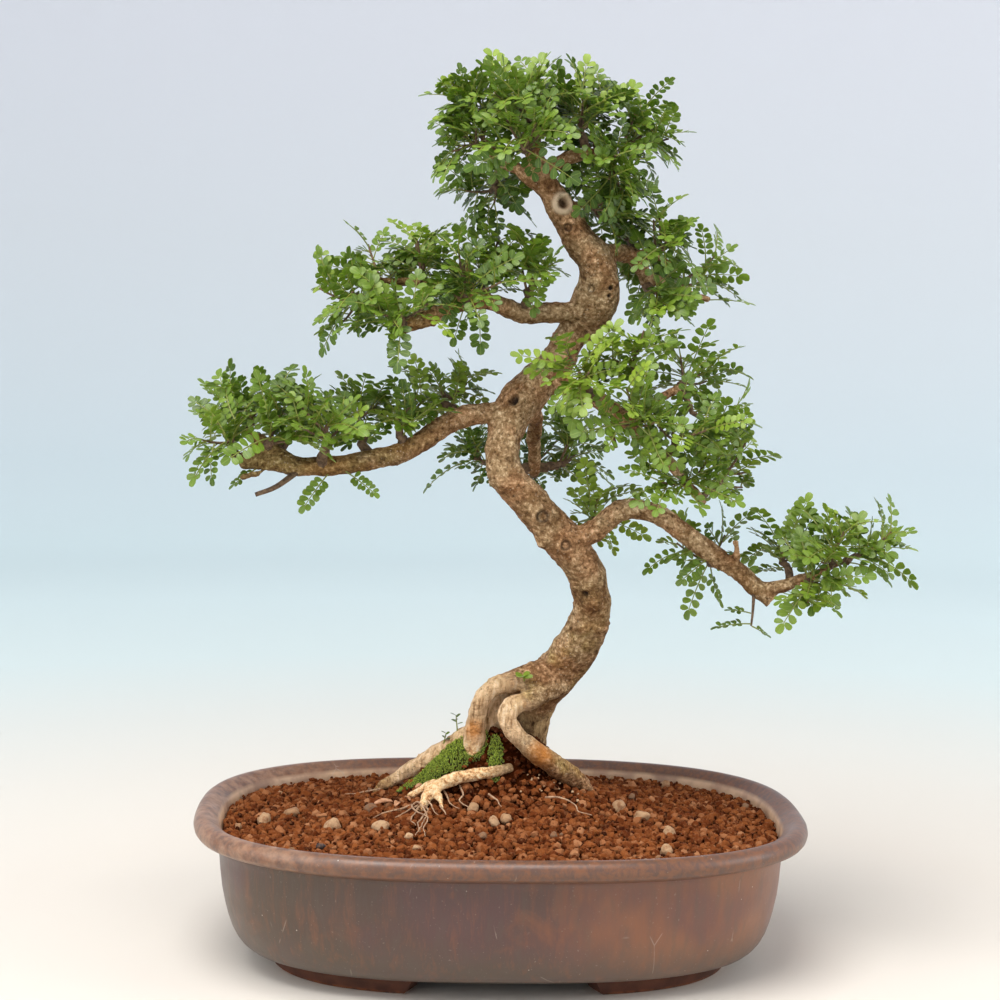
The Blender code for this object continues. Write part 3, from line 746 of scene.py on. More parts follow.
class Shell:
    """Collects vertices in millimetres, their faces, and three marks for each vertex."""

    def __init__(self) -> None:
        """Start empty."""
        self.vertices: List[Place] = []
        self.faces: List[Face] = []
        self.marks: List[Place] = []

    def add(self, vertices: Places, faces: Iterable[Face], marks: Sequence[Place] = ()) -> None:
        """Add vertices with faces that count from the first of them.

        Args:
            vertices: their places.
            faces: index lists.
            marks: marks of each vertex, or one for all.
        """
        first = len(self.vertices)
        self.vertices += list(vertices)
        self.faces += [tuple(first + i for i in face) for face in faces]
        self.marks += marks if len(marks) > 1 else [*marks] * len(vertices)

    def loft(self, rings: Sequence[Sequence[Vector]], mark: Place = (0, 0, 0)) -> None:
        """Skin rings of equal count and cap both ends.

        Args:
            rings: closed rings of points.
            mark: marks of all vertices.
        """
        count = len(rings[0])
        last = (len(rings) - 1) * count
        faces = [tuple(reversed(range(count)))]
        for low in range(0, last, count):
            for i in range(count):
                j = (i + 1) % count
                faces.append((low + i, low + j, low + count + j, low + count + i))
        faces.append(tuple(range(last, last + count)))
        self.add([point for ring in rings for point in ring], faces, [mark])

    def tube(self, path: Sequence[Vector], sides: int, ripple: float = 0, lumps: float = 0,
             mark: Place = (0, 0, 0)) -> None:
        """Add a closed limb along a path.

        Args:
            path: vectors of place and radius.
            sides: number of sides.
            ripple: depth of three soft ridges that wind along it, as a share of its radius.
            lumps: unevenness of its thickness, as a share of its radius.
            mark: marks of all vertices.
        """
        rings = []
        side = None
        gone = 0
        for i, station in enumerate(path):
            before = path[max(i - 1, 0)].xyz
            ahead = (path[min(i + 1, len(path) - 1)].xyz - before).normalized()
            side = square_to(side or ahead.orthogonal(), ahead)
            other = ahead.cross(side)
            gone += (station.xyz - before).length
            ring = []
            for angle in turns(sides):
                outward = turned(side, other, angle)
                radius = station.w * (1 + ripple * sin(3 * angle + 0.058 * gone))
                if lumps:
                    radius *= 1 + lumps * noise.noise((station.xyz + outward * 14) / 12)
                ring.append(station.xyz + outward * radius)
            rings.append(ring)
        self.loft(rings, mark)

    def make(self, name: str, material: Material, sharp: float = 50, attribute: str = "") -> Object:
        """Turn all that was added into a smooth-shaded object.

        Args:
            name: its name.
            material: its finish.
            sharp: angle in degrees over which an edge stays sharp.
            attribute: name of the attribute that the marks go to, if any.

        Returns:
            The object.
        """
        points = np.array([tuple(v) for v in self.vertices], dtype=float) * MM + np.array(ORIGIN)
        mesh = bpy.data.meshes.new(name)
        mesh.from_pydata(points.tolist(), [], self.faces)
        mesh.update()
        mesh.shade_smooth()
        mesh.set_sharp_from_angle(angle=radians(sharp))
        mesh.materials.append(material)
        obj = bpy.data.objects.new(name, mesh)
        bpy.context.scene.collection.objects.link(obj)
        if attribute:
            add_attribute(obj, attribute, np.array(self.marks))
        return obj


@dataclass
class Pot:
    """The rounded oblong pot with its rolled lip, recessed base and four feet."""

    length: float = 300
    depth: float = 235
    power: float = 2.7
    points: int = 160
    plan_steps: int = 4000
    outer_wall: Tuple[Range, ...] = (
        (37, 7), (36, 9), (27, 9.8), (24.6, 10.8), (22.3, 12.8), (20.2, 15.6), (18.2, 19.6), (16.6, 24.4),
        (15.2, 30), (13.8, 37), (12.9, 45), (12.3, 53), (12, 57.2), (11.3, 58.6), (11.2, 60.2), (9.6, 61.4),
        (7.4, 62.3),
    )
    lip_radius: float = 4.9
    lip_centre: float = 67.8
    lip_turns: Numbers = (-100, -75, -50, -25, 0, 22, 44, 64, 82, 100, 120, 140)
    inner_wall: Tuple[Range, ...] = (
        (11.2, 69.4), (12.4, 67.6), (13, 65.4), (14.2, 58), (17, 42), (20, 29), (25, 18), (31, 13),
    )
    hole_places: Range = (-62, 62)
    hole_radius: float = 11
    foot_outer: float = 35.5
    foot_width: float = 17
    foot_taper: float = 2.5
    foot_turns: Range = (15, 75)
    foot_levels: Tuple[Place, ...] = ((0, 1, 0.9), (0.5, 1, 0.15), (0.95, 0.9, 0), (9, 0, 0))
    foot_segments: int = 26

    def plan(self, inset: float, angle: float, z: float) -> Vector:
        """A point of the plan.

        Args:
            inset: distance inside the lip's edge.
            angle: angle in radians.
            z: height.

        Returns:
            The place.
        """
        cosine = cos(angle)
        sine = sin(angle)
        share = 2 / self.power
        x = copysign(abs(cosine) ** share, cosine) * (self.length / 2 - inset)
        y = copysign(abs(sine) ** share, sine) * (self.depth / 2 - inset)
        return Vector((x, y, z))

    def rings(self, profile: Iterable[Tuple[float, float]]) -> List[List[Vector]]:
        """Rings of the plan whose points lie about evenly along its edge.

        Args:
            profile: inset and height of each ring.

        Returns:
            The rings.
        """
        fine = [FULL_TURN * i / self.plan_steps for i in range(self.plan_steps + 1)]
        places = [self.plan(0, a, 0) for a in fine]
        gone = [0]
        for a, b in zip(places, places[1:]):
            gone.append(gone[-1] + (b - a).length)
        angles = [float(np.interp(gone[-1] * k / self.points, gone, fine)) for k in range(self.points)]
        return [[self.plan(inset, a, z) for a in angles] for inset, z in profile]

    def body(self, material: Material) -> Object:
        """Build the glazed body.

        Args:
            material: the glaze.

        Returns:
            The object.
        """
        profile = list(self.outer_wall)
        radius = self.lip_radius
        for angle in map(radians, self.lip_turns):
            profile.append((radius * (1 - cos(angle)), self.lip_centre + radius * sin(angle)))
        shell = Shell()
        shell.loft(self.rings(profile + list(self.inner_wall)))
        return shell.make("pot_body", material, 40)

    def drill(self, obj: Object) -> None:
        """Cut the drain holes through the floor.

        Args:
            obj: the pot's body.
        """
        for x in self.hole_places:
            shell = Shell()
            shell.loft([[Vector((x + self.hole_radius * cos(a), self.hole_radius * sin(a), z))
                         for a in turns(40)] for z in (0, 26)])
            cutter = shell.make("drill", obj.data.materials[0])
            modifier = obj.modifiers.new("hole", "BOOLEAN")
            modifier.operation = "DIFFERENCE"
            modifier.solver = "EXACT"
            modifier.object = cutter
            apply_modifiers(obj)
            bpy.data.objects.remove(cutter, do_unlink=True)

    def mark_inside(self, obj: Object) -> None:
        """Mark the inner wall, whose skin faces the middle, for the glaze.

        Args:
            obj: the pot's body.
        """
        marks = np.zeros((len(obj.data.vertices), 3))
        for vertex in obj.data.vertices:
            x, y, z = part_place(vertex.co)
            outward = Vector((x / self.length ** 2, y / self.depth ** 2)).normalized()
            is_below_lip = 12 < z < self.lip_centre
            marks[vertex.index, 0] = float(is_below_lip and vertex.normal.xy.dot(outward) < -0.2)
        add_attribute(obj, "part", marks)

    def feet(self, material: Material) -> Object:
        """Build the four feet.

        Args:
            material: the bare clay.

        Returns:
            The object.
        """
        shell = Shell()
        first, last = map(radians, self.foot_turns)
        for flip_x, flip_y in ((1, 1), (-1, 1), (-1, -1), (1, -1)):
            rings = []
            for z, share, edge in self.foot_levels:
                turn = radians(self.foot_taper * share + edge * 0.5)
                count = self.foot_segments
                angles = [first + turn + (last - first - 2 * turn) * i / count for i in range(count + 1)]
                taper = self.foot_taper * share + edge
                outer = [self.plan(self.foot_outer + taper, a, z) for a in angles]
                inner_edge = self.foot_outer + self.foot_width - taper
                inner = [self.plan(inner_edge, a, z) for a in reversed(angles)]
                ring = [Vector((p.x * flip_x, p.y * flip_y, p.z)) for p in outer + inner]
                if flip_x * flip_y < 0:
                    ring.reverse()
                rings.append(ring)
            shell.loft(rings)
        return shell.make("pot_feet", material, 35)

    def build(self) -> None:
        """Make the pot and hand it over."""
        body = self.body(GlazeFinish().material())
        self.drill(body)
        self.mark_inside(body)
        add_piece(body, Slot.GLAZE, "pot")
        add_piece(self.feet(BareClayFinish().material()), Slot.GLAZE)


@dataclass
class DrainScreens:
    """Round pieces of plastic net over the drain holes."""

    places: Tuple[Tuple[str, float], ...] = (("left", -62), ("right", 62))
    radius: float = 16.4
    level: float = 13.95
    rim: float = 0.6
    pitch: float = 2.6
    strand: float = 0.45
    strands: int = 6
    finish: PlainFinish = PlainFinish("net", (0.03, 0.03, 0.032), (0.012, 0.012, 0.013), 3, 0.55, 0.05)

    def build(self) -> None:
        """Make both nets of crossing strands in a round rim and hand them over."""
        material = self.finish.material()
        for label, middle in self.places:
            shell = Shell()
            for along in (0, 1):
                for k in range(-self.strands, self.strands + 1):
                    offset = k * self.pitch
                    half = sqrt(max(0, self.radius ** 2 - offset ** 2))
                    path = []
                    for share in (-1, 1):
                        spot = [middle, 0, self.level]
                        spot[along] += share * half
                        spot[1 - along] += offset
                        path.append(Vector((*spot, self.strand)))
                    shell.tube(path, 6)
            ring = [Vector((middle + self.radius * cos(a), self.radius * sin(a), self.level, self.rim))
                    for a in (*turns(48), FULL_TURN)]
            shell.tube(ring, 6)
            add_piece(shell.make("net_" + label, material), Slot.SCREEN, "drain_screen_" + label)


@dataclass
class Wood:
    """Trunk, branches and roots, grown as one piece, with its knots, stubs and scars."""

    trunk: Limb = (
        (19, 49, 66, 8.6), (18, 46, 95, 8.6), (19, 40, 114, 9.2), (26, 32, 130, 11), (36, 25, 145, 11.2),
        (44, 15, 165, 10), (43, 8, 181, 9.2), (37, 3, 194, 9.2), (27, 0, 206, 10.1), (13, -3, 222, 8.8),
        (1, -5, 236, 8.8), (-2, -5, 247, 8.4), (0, -2, 259, 9), (5, 1, 271, 10.4), (16, 4, 284, 9.5),
        (26, 6, 295, 8.2), (31, 6, 306, 8), (40, 4, 317, 10.8), (44, 0, 328, 10.4), (42, -3, 341, 9),
        (33, -5, 352, 7.8), (24, -8, 366, 7), (16, -10, 378, 5.7), (11, -12, 388, 4.8), (8, -14, 397, 3.4),
    )
    branches: Dict[str, Limb] = field(default_factory=lambda: {
        "low_left": (
            (3, 0, 266, 6.4), (-12, -4, 267, 5.4), (-28, -8, 262, 5.3), (-52, -15, 248, 5.1),
            (-77, -20, 242, 4.8), (-97, -23, 241, 4.5), (-114, -26, 243, 4.4), (-128, -28, 244, 3.8),
        ),
        "low_left_rise": ((-104, -24, 243, 3.4), (-116, -26, 251, 3), (-126, -27, 257, 2.2)),
        "upper_left": (
            (40, 2, 317, 6.6), (21, -2, 316, 5), (6, -6, 316, 4.6), (-12, -12, 321, 4.4),
            (-29, -15, 318, 4), (-40, -18, 313, 4.2), (-53, -22, 308, 3.6),
        ),
        "upper_left_rise": (
            (-22, -14, 320, 3.2), (-34, -12, 328, 2.6), (-50, -14, 330, 2.2), (-66, -14, 330, 1.7),
        ),
        "right_low": (
            (28, 0, 203, 7), (42, -3, 209, 5.6), (57, -7, 221, 5.1), (74, -11, 219, 5), (93, -14, 206, 5),
            (112, -16, 193, 4.6), (130, -18, 178, 4),
        ),
        "right_low_shoot": (
            (122, -17, 184, 3.2), (136, -18, 186, 2.8), (150, -20, 192, 2.3), (162, -20, 198, 1.7),
        ),
        "right_mid": (
            (24, 2, 282, 5.4), (41, -8, 276, 4.2), (54, -18, 267, 3.8), (68, -26, 254, 3.2),
            (86, -30, 236, 2.4), (94, -30, 226, 1.7),
        ),
        "right_mid_rise": ((56, -19, 266, 2.8), (68, -26, 274, 2.4), (82, -24, 282, 1.8)),
        "back": ((8, 4, 274, 4.4), (15, 24, 266, 3.7), (16, 42, 250, 3.5), (17, 57, 234, 3.2)),
        "right_upper": ((44, -2, 345, 4.6), (58, 5, 346, 3.8), (66, 11, 338, 3.6), (69, 13, 328, 3)),
        "right_upper_arm": ((65, 11, 336, 2.5), (82, 13, 330, 2.1), (100, 14, 324, 1.6)),
        "crown_left": ((20, -9, 372, 4), (4, -10, 384, 3.4), (-8, -4, 391, 2.8), (-15, 0, 400, 1.9)),
        "crown_right": ((13, -11, 384, 3.8), (28, -10, 391, 3.2), (42, -2, 394, 2.6), (52, 4, 395, 1.8)),
        "crown_back": ((10, -13, 388, 3.2), (12, 2, 397, 2.8), (14, 14, 406, 1.9)),
    })
    roots: Dict[str, Limb] = field(default_factory=lambda: {
        "left_leg": (
            (28, 27, 134, 9), (12, 20, 132, 6.6), (-2, 16, 129, 5.2), (-9, 15, 122, 4.9),
            (-12, 16, 112, 4.9), (-13, 18, 100, 5.2), (-14, 20, 86, 4.6),
        ),
        "front_leg": (
            (30, 26, 129, 7), (16, 12, 124, 5), (6, 8, 121, 4.7), (3, 6, 114, 4.7), (8, 6, 106, 5),
            (18, 8, 97, 5.3), (28, 12, 90, 5.3), (38, 19, 82, 5), (46, 25, 73, 3.8), (52, 30, 66, 2.4),
        ),
        "far_left": (
            (20, 32, 124, 6.4), (4, 27, 121, 4.6), (-5, 25, 111, 4.6), (-16, 25, 102, 5.2),
            (-28, 27, 93, 5.2), (-42, 31, 84, 4.4), (-55, 36, 75, 3.3), (-65, 40, 67, 2.2),
        ),
        "behind_left": (
            (16, 30, 127, 6), (4, 29, 120, 4.6), (-3, 31, 108, 4.6), (-6, 33, 94, 4.4), (-9, 36, 80, 3.6),
        ),
        "surface": (
            (22, 42, 84, 3.4), (12, 24, 88, 3.2), (4, 10, 88, 2.9), (-5, 6, 87, 3), (-15, 5, 86, 3.5),
            (-24, 4, 84, 3.4), (-33, 1, 80, 3.2), (-37, -4, 75, 2.5), (-40, -8, 70, 1.6),
        ),
        "surface_fork": ((-30, 3, 82, 2.6), (-38, 6, 79, 2.1), (-46, 7, 74, 1.4)),
        "surface_spur": ((-33, 1, 79, 2.2), (-30, -6, 76, 1.7), (-29, -12, 73, 1)),
    })
    stubs: Tuple[Limb, ...] = (
        ((-20, -13, 320, 3), (-21, -15, 330, 2.8), (-22, -15, 341, 2.6)),
        ((-108, -26, 245, 2), (-117, -32, 239, 1.2), (-127, -36, 236, 0.9)),
        ((55, 6, 344, 2.4), (66, 0, 346, 1.8), (78, -4, 341, 1.4)),
        ((112, -16, 194, 2.6), (112, -19, 202, 2), (111, -20, 208, 1.7)),
    )
    knots: Tuple[Tuple[Knot, Place, float], ...] = (
        (Knot.HOLLOW, (0.4, -12, 275.7), 3.7), (Knot.CALLUS, (25.3, -17, 369.3), 3.5),
        (Knot.BUD, (26.1, -16, 356.5), 2.3), (Knot.BOSS, (39.1, -11, 352.6), 2.4),
        (Knot.BUD, (36, -14, 327.5), 2), (Knot.BOSS, (35.4, -13, 333.8), 1.7),
        (Knot.HOLLOW, (47.8, -8, 328.8), 1.6), (Knot.HOLLOW, (47.9, -8, 325.2), 1.3),
        (Knot.SCAR, (25, -5, 298.3), 3), (Knot.HOLLOW, (18.1, -9, 363.2), 2.1),
        (Knot.BUD, (17.8, -14, 217.8), 3.4), (Knot.BUD, (30, -12, 203), 2.8),
        (Knot.BOSS, (15.4, -8, 201.2), 5), (Knot.HOLLOW, (36.5, -5, 175), 2.2),
        (Knot.BOSS, (44.1, -6, 169.5), 5), (Knot.BOSS, (53.7, 6, 175.4), 1.8),
        (Knot.BOSS, (5.9, 12, 138.4), 1.6), (Knot.BOSS, (14.9, 12, 142.5), 1.8),
        (Knot.BUD, (2, 6, 240), 2.6), (Knot.BOSS, (32, 14, 204), 4),
        (Knot.BUD, (46, 12, 322), 2.8), (Knot.SCAR, (30, 16, 292), 2.6),
    )
    sides: int = 26
    step: float = 2.4
    voxel: float = 0.98
    ripple: float = 0.05
    branch_ripple: float = 0.03
    lumps: float = 0.1
    settle_passes: int = 3
    relief_coarse: Range = (11, 0.95)
    relief_fine: Range = (3, 0.26)
    bumps: int = 520
    bump_radius: Range = (0.7, 1.9)
    bump_rise: Range = (0.15, 0.6)
    bump_seed: int = 5
    fine_reach: float = 2
    knot_reach: float = 2.4
    search: Optional[BVHTree] = None

    def fuse(self, material: Material) -> Object:
        """Join the limbs into one skin with soft forks.

        Args:
            material: the bark.

        Returns:
            The object.
        """
        shell = Shell()
        limbs = [(self.trunk, self.ripple)]
        limbs += [(limb, self.branch_ripple) for limb in (*self.branches.values(), *self.roots.values())]
        for stations, ripple in limbs + [(stub, 0) for stub in self.stubs]:
            shell.tube(smooth_path(stations, self.step), self.sides, ripple, self.lumps)
        obj = shell.make("wood", material)
        remesh = obj.modifiers.new("fuse", "REMESH")
        remesh.mode = "VOXEL"
        remesh.voxel_size = self.voxel * MM
        settle = obj.modifiers.new("settle", "SMOOTH")
        settle.factor = 0.6
        settle.iterations = self.settle_passes
        apply_modifiers(obj)
        return obj

    def refine(self, obj: Object) -> None:
        """Give the skin around each small knot a finer mesh.

        Args:
            obj: the fused wood.
        """
        work = bmesh.new()
        work.from_mesh(obj.data)
        for kind, place, radius in self.knots:
            if kind is not Knot.BOSS:
                reach = radius * self.fine_reach * MM
                edges = [e for e in work.edges if (e.verts[0].co - row_place(place)).length < reach]
                bmesh.ops.subdivide_edges(work, edges=edges, cuts=1, use_grid_fill=True)
        work.to_mesh(obj.data)
        work.free()

    def carve(self, obj: Object) -> None:
        """Raise the bark's relief, its lenticels and its knots.

        Args:
            obj: the fused wood.
        """
        mesh = obj.data
        count = len(mesh.vertices)
        normals = [v.normal.copy() for v in mesh.vertices]
        places = [part_place(v.co) for v in mesh.vertices]
        lift = np.zeros(count)
        knot_shade_and_cut = np.zeros((count, 3))
        tree = kdtree.KDTree(count)
        for i, place in enumerate(places):
            coarse = noise.fractal(place / self.relief_coarse[0], 0.8, 2, 3)
            fine = noise.fractal(place / self.relief_fine[0], 0.9, 2, 2)
            lift[i] = coarse * self.relief_coarse[1] + fine * self.relief_fine[1]
            tree.insert(place, i)
        tree.balance()
        draw = random.Random(self.bump_seed)
        for _ in range(self.bumps):
            middle = places[draw.randrange(count)]
            radius = draw.uniform(*self.bump_radius)
            rise = draw.uniform(*self.bump_rise)
            for _, i, away in tree.find_range(middle, radius):
                lift[i] += rise * (1 - (away / radius) ** 2)
        for kind, place, radius in self.knots:
            middle = places[tree.find(Vector(place))[1]]
            for _, i, away in tree.find_range(middle, radius * self.knot_reach):
                # Painted shade in the knot's hole and creases, and pale cut wood.
                rise, dark, cut = self.knot_shape(kind, away / radius)
                lift[i] += rise * radius
                knot_shade_and_cut[i, :2] = max(knot_shade_and_cut[i, 0], dark), max(knot_shade_and_cut[i, 1], cut)
        for i, vertex in enumerate(mesh.vertices):
            vertex.co += normals[i] * float(lift[i]) * MM
        mesh.update()
        add_attribute(obj, "knot_shade_and_cut", knot_shade_and_cut)

    def knot_shape(self, kind: Knot, away: float) -> Place:
        """Shape of a knot at a distance from its middle.

        Args:
            kind: which kind of knot it is.
            away: the distance as a share of its radius.

        Returns:
            Its height as a share of its radius, the share of painted shade in its hole and creases, and the
            share of cut wood.
        """
        ring = exp(-((away - 1.15) / 0.38) ** 2)
        core = 1 / (1 + exp((away - 0.72) * 12))
        # The dark share paints shade into the knot's hole and the crease round a bud.
        return {
            Knot.HOLLOW: (0.16 * ring - 0.95 * core, core, 0),
            Knot.CALLUS: (0.38 * ring - 0.75 * core, 0.8 * core, min(1, 1.7 * ring) * (1 - core)),
            Knot.BUD: (0.34 * ring - 0.3 * core, 0.75 * exp(-((away - 0.75) / 0.22) ** 2), 0),
            Knot.BOSS: (0.4 * exp(-(away / 0.8) ** 2), 0, 0),
            Knot.SCAR: (0.1 * ring - 0.12 * core, 0, core),
        }[kind]

    def samples(self, names: Sequence[str]) -> List[Vector]:
        """Points with radii along the axes of the named branches, trunk_top being the trunk's end."""
        limbs = {**self.branches, "trunk_top": self.trunk[-3:]}
        return [point for name in names for point in smooth_path(limbs[name], 4)]

    def clearance(self, place: Vector) -> float:
        """How far a place is from the wood's skin, below zero inside it."""
        spot, normal, _, away = self.search.find_nearest(place)
        return -away if (place - spot).dot(normal) < -0.6 * away else away

    def build(self, material: Material) -> None:
        """Make the wood and hand it over.

        Args:
            material: the bark.
        """
        obj = self.fuse(material)
        self.refine(obj)
        self.carve(obj)
        obj.data.shade_smooth()
        vertices = [part_place(v.co) for v in obj.data.vertices]
        self.search = BVHTree.FromPolygons(vertices, [tuple(p.vertices) for p in obj.data.polygons])
        add_piece(obj, Slot.BARK, "tree")


@dataclass
class SoilBed:
    """Clay grains over a bed of dark earth, domed towards the root ball; the earth's near-black tone is
    painted shade in the gaps.
    """

    pot: Pot
    wood: Wood
    edge_inset: float = 13.35
    edge_height: float = 64.5
    dome: Numbers = (0, 22, 78, 58, 12.5)
    ball: Numbers = (2, 28, 33, 20, 29)
    bank: Numbers = (-25, 21, 20, 9, 8)
    bed_levels: Tuple[Range, ...] = (
        (31.5, 15.4), (25.6, 18.6), (20.6, 29), (17.6, 42), (14.7, 57), (13.55, 62.2),
    )
    bed_rings: int = 44
    sink: float = 2.3
    grain_grid: Range = (3.55, 0.3)
    crumb_grid: Range = (4.2, 0.48)
    ball_grid: Range = (2.4, 0.45)
    row_pitch: float = 0.866
    overlap: float = 0.55
    grain_radius: Place = (1.3, 3.1, 1.7)
    crumb_radius: Range = (0.7, 1.3)
    ball_radius: Range = (0.8, 1.8)
    grain_shade: Range = (0.56, 0.2)
    # Tone of the crumbs: kept dark, partly as painted shade in the gaps.
    crumb_tone_and_gap_shade: Range = (0.3, 0.18)
    seed: int = 11
    shapes: int = 26
    pebbles: int = 34
    strewn: Range = (130, 98)
    flecks: int = 22
    marked_pebbles: Tuple[Station, ...] = (
        (-116, -8, 4.4, 0.75), (-103, 3, 4, 0.62), (-82, -25, 4, 0.8), (-59, -29, 3.8, 0.85),
        (-45, -46, 2.6, 0.9), (2, -25, 3.4, 0.7), (70, -8, 3.6, 0.75), (81, -30, 3, 0.78),
        (76, -62, 3.6, 0.8), (-14, -12, 3.2, 0.7), (-4, -28, 3, 0.8), (-64, -2, 3.4, 0.3),
        (60, 4, 3.4, 0.72),
    )
    bead: Place = (-86, -61, 2.3)
    moss_patches: Tuple[Numbers, ...] = (
        (-25, 17, 14, 6.8, 1700), (-12, 18, 6, 5.8, 560), (-2, 12, 4, 7, 480), (-37, 18, 8, 5.2, 420),
        (-46, 20, 6, 3.6, 160),
    )

    def height(self, x: float, y: float) -> float:
        """Height of the soil's surface.

        Args:
            x: place along the pot.
            y: place over its depth.

        Returns:
            The height.
        """
        level = self.edge_height
        for (cx, cy, rx, ry, rise), sharp in ((self.dome, 1), (self.ball, 1.3), (self.bank, 1.3)):
            reach = ((x - cx) / rx) ** 2 + ((y - cy) / ry) ** 2
            level += rise * exp(-reach ** sharp)
        return level

    def at(self, x: float, y: float, above: float) -> Vector:
        """A place at a height above the soil's surface."""
        return Vector((x, y, self.height(x, y) + above))

    def inside(self, x: float, y: float, margin: float) -> bool:
        """Whether a place is inside the pot's inner edge by at least a margin."""
        halves = (side / 2 - self.edge_inset - margin for side in (self.pot.length, self.pot.depth))
        return sum(abs(part / half) ** self.pot.power for part, half in zip((x, y), halves)) < 1

    def on_ball(self, x: float, y: float) -> float:
        """How near a place is to the middle of the root ball or its bank: 1 there, 0 at the edge."""
        return max(1 - hypot((x - cx) / (rx * 1.05), (y - cy) / (ry * 1.25))
                   for cx, cy, rx, ry, _ in (self.ball, self.bank))

    def bed(self) -> None:
        """Make the closed bed of earth under the grains."""
        rings = self.pot.rings(self.bed_levels)
        cx, cy = self.ball[:2]
        for level in range(1, self.bed_rings):
            reach = (1 - level / self.bed_rings) ** 1.1
            fade = min(1, (1 - reach) * 8)
            ring = []
            for rim in rings[len(self.bed_levels) - 1]:
                x = cx + (rim.x - cx) * reach
                y = cy + (rim.y - cy) * reach
                bump = noise.noise(Vector((x, y, 0)) / 5) * 1.3
                ring.append(self.at(x, y, bump * fade - self.sink))
            rings.append(ring)
        shell = Shell()
        shell.loft(rings)
        # The bed's near-black earth is painted shade in the gaps between grains.
        add_piece(shell.make("earth", EarthAndGapShadeFinish().material()), Slot.SOIL, "soil")

    def lumps(self, detail: int, rough: float, draw: Draw) -> Tuple[List[np.ndarray], List[Face]]:
        """Rough round shapes to copy as grains.

        Args:
            detail: fineness of the ball that they start from, 0 for a rounded cube.
            rough: unevenness.
            draw: source of chance.

        Returns:
            Places of each shape, and the faces that they share.
        """
        work = bmesh.new()
        if detail:
            bmesh.ops.create_icosphere(work, subdivisions=detail, radius=1)
        else:
            bmesh.ops.create_cube(work, size=1)
            bmesh.ops.subdivide_edges(work, edges=work.edges[:], cuts=1, use_grid_fill=True)
        base = [v.co.normalized() for v in work.verts]
        faces = [tuple(v.index for v in f.verts) for f in work.faces]
        work.free()
        shapes = []
        for _ in range(self.shapes):
            seed = Vector([draw.uniform(0, 90) for _ in range(3)])
            swell = [1 + rough * (noise.noise(p * 1.15 + seed) + 0.35 * noise.noise(p * 2.6 + seed))
                     for p in base]
            shapes.append(np.array([tuple(p) for p in base]) * np.array(swell)[:, None])
        return shapes, faces

    def scatter(self, name: str, spots: Sequence[Grain], detail: int, rough: float, material: Material,
                seed: int) -> None:
        """Make one piece of many grains.

        Args:
            name: name of the piece.
            spots: middle, radius and shade of each grain.
            detail: fineness of each grain.
            rough: unevenness of each grain.
            material: its finish.
            seed: start of its chance.
        """
        draw = random.Random(seed)
        shapes, faces = self.lumps(detail, rough, draw)
        shell = Shell()
        for middle, radius, shade in spots:
            turn = np.array(Quaternion([draw.gauss(0, 1) for _ in range(4)]).normalized().to_matrix())
            squeeze = np.array([draw.uniform(0.8, 1.2), draw.uniform(0.8, 1.15), draw.uniform(0.68, 0.95)])
            shape = shapes[draw.randrange(self.shapes)] * squeeze * radius
            shell.add(shape @ turn.T + np.array(middle), faces, [(shade, 0, 0)])
        add_piece(shell.make(name, material, 42, "shade"), Slot.SOIL)

    def grid(self, pitch: float, jitter: float, draw: Draw) -> Iterable[Tuple[float, float]]:
        """Places about one pitch apart over the whole bed.

        Args:
            pitch: distance between neighbours.
            jitter: how far each is moved at random, as a share of the pitch.
            draw: source of chance.

        Yields:
            Places on the two axes.
        """
        rows = int(self.pot.depth / pitch / self.row_pitch) + 2
        columns = int(self.pot.length / pitch) + 2
        for row in range(rows):
            for column in range(columns):
                x = column - columns / 2 + 0.5 * (row % 2) + draw.uniform(-jitter, jitter)
                y = (row - rows / 2) * self.row_pitch + draw.uniform(-jitter, jitter)
                yield x * pitch, y * pitch

    def free(self, middle: Vector, radius: float) -> bool:
        """Whether a grain lies clear of the wood, or nearly."""
        return self.wood.clearance(middle) > radius * self.overlap

    def stones(self, draw: Draw) -> List[Grain]:
        """Places of the loose pebbles, the pale flecks of the root ball and the dark bead.

        Args:
            draw: source of chance.

        Returns:
            Middle, radius and shade of each.
        """
        found = []
        for _ in range(self.pebbles):
            x = draw.uniform(-self.strewn[0], self.strewn[0])
            y = draw.uniform(-self.strewn[1], self.strewn[1])
            radius = draw.uniform(1, 2.4)
            middle = self.at(x, y, 0.4)
            if self.inside(x, y, 4) and self.on_ball(x, y) < 0.1 and self.free(middle, radius):
                found.append((middle, radius, draw.uniform(0.15, 1)))
        for _ in range(self.flecks):
            x = draw.gauss(23, 8)
            found.append((self.at(x, draw.gauss(5, 4), 0.2), draw.uniform(0.35, 0.75), 1))
        return found + [(self.at(*self.bead[:2], 0.6), self.bead[2], 0)]

    def build(self) -> None:
        """Make the bed, strew the clay grains, the finer ones of the root ball and the pebbles."""
        self.bed()
        draw = random.Random(self.seed)
        large, small, fine = [], [], []
        stones = [(self.at(x, y, -0.2), radius, shade) for x, y, radius, shade in self.marked_pebbles]
        for x, y in self.grid(*self.grain_grid, draw):
            radius = draw.triangular(*self.grain_radius)
            if self.inside(x, y, radius * 0.75) and self.on_ball(x, y) <= 0.12:
                middle = self.at(x, y, draw.uniform(-0.9, 0.9) - 1.3)
                shade = clamp(draw.gauss(*self.grain_shade))
                is_apart = all((middle.xy - s[0].xy).length > s[1] + 1 for s in stones)
                if is_apart and self.free(middle, radius):
                    large.append((middle, radius, shade))
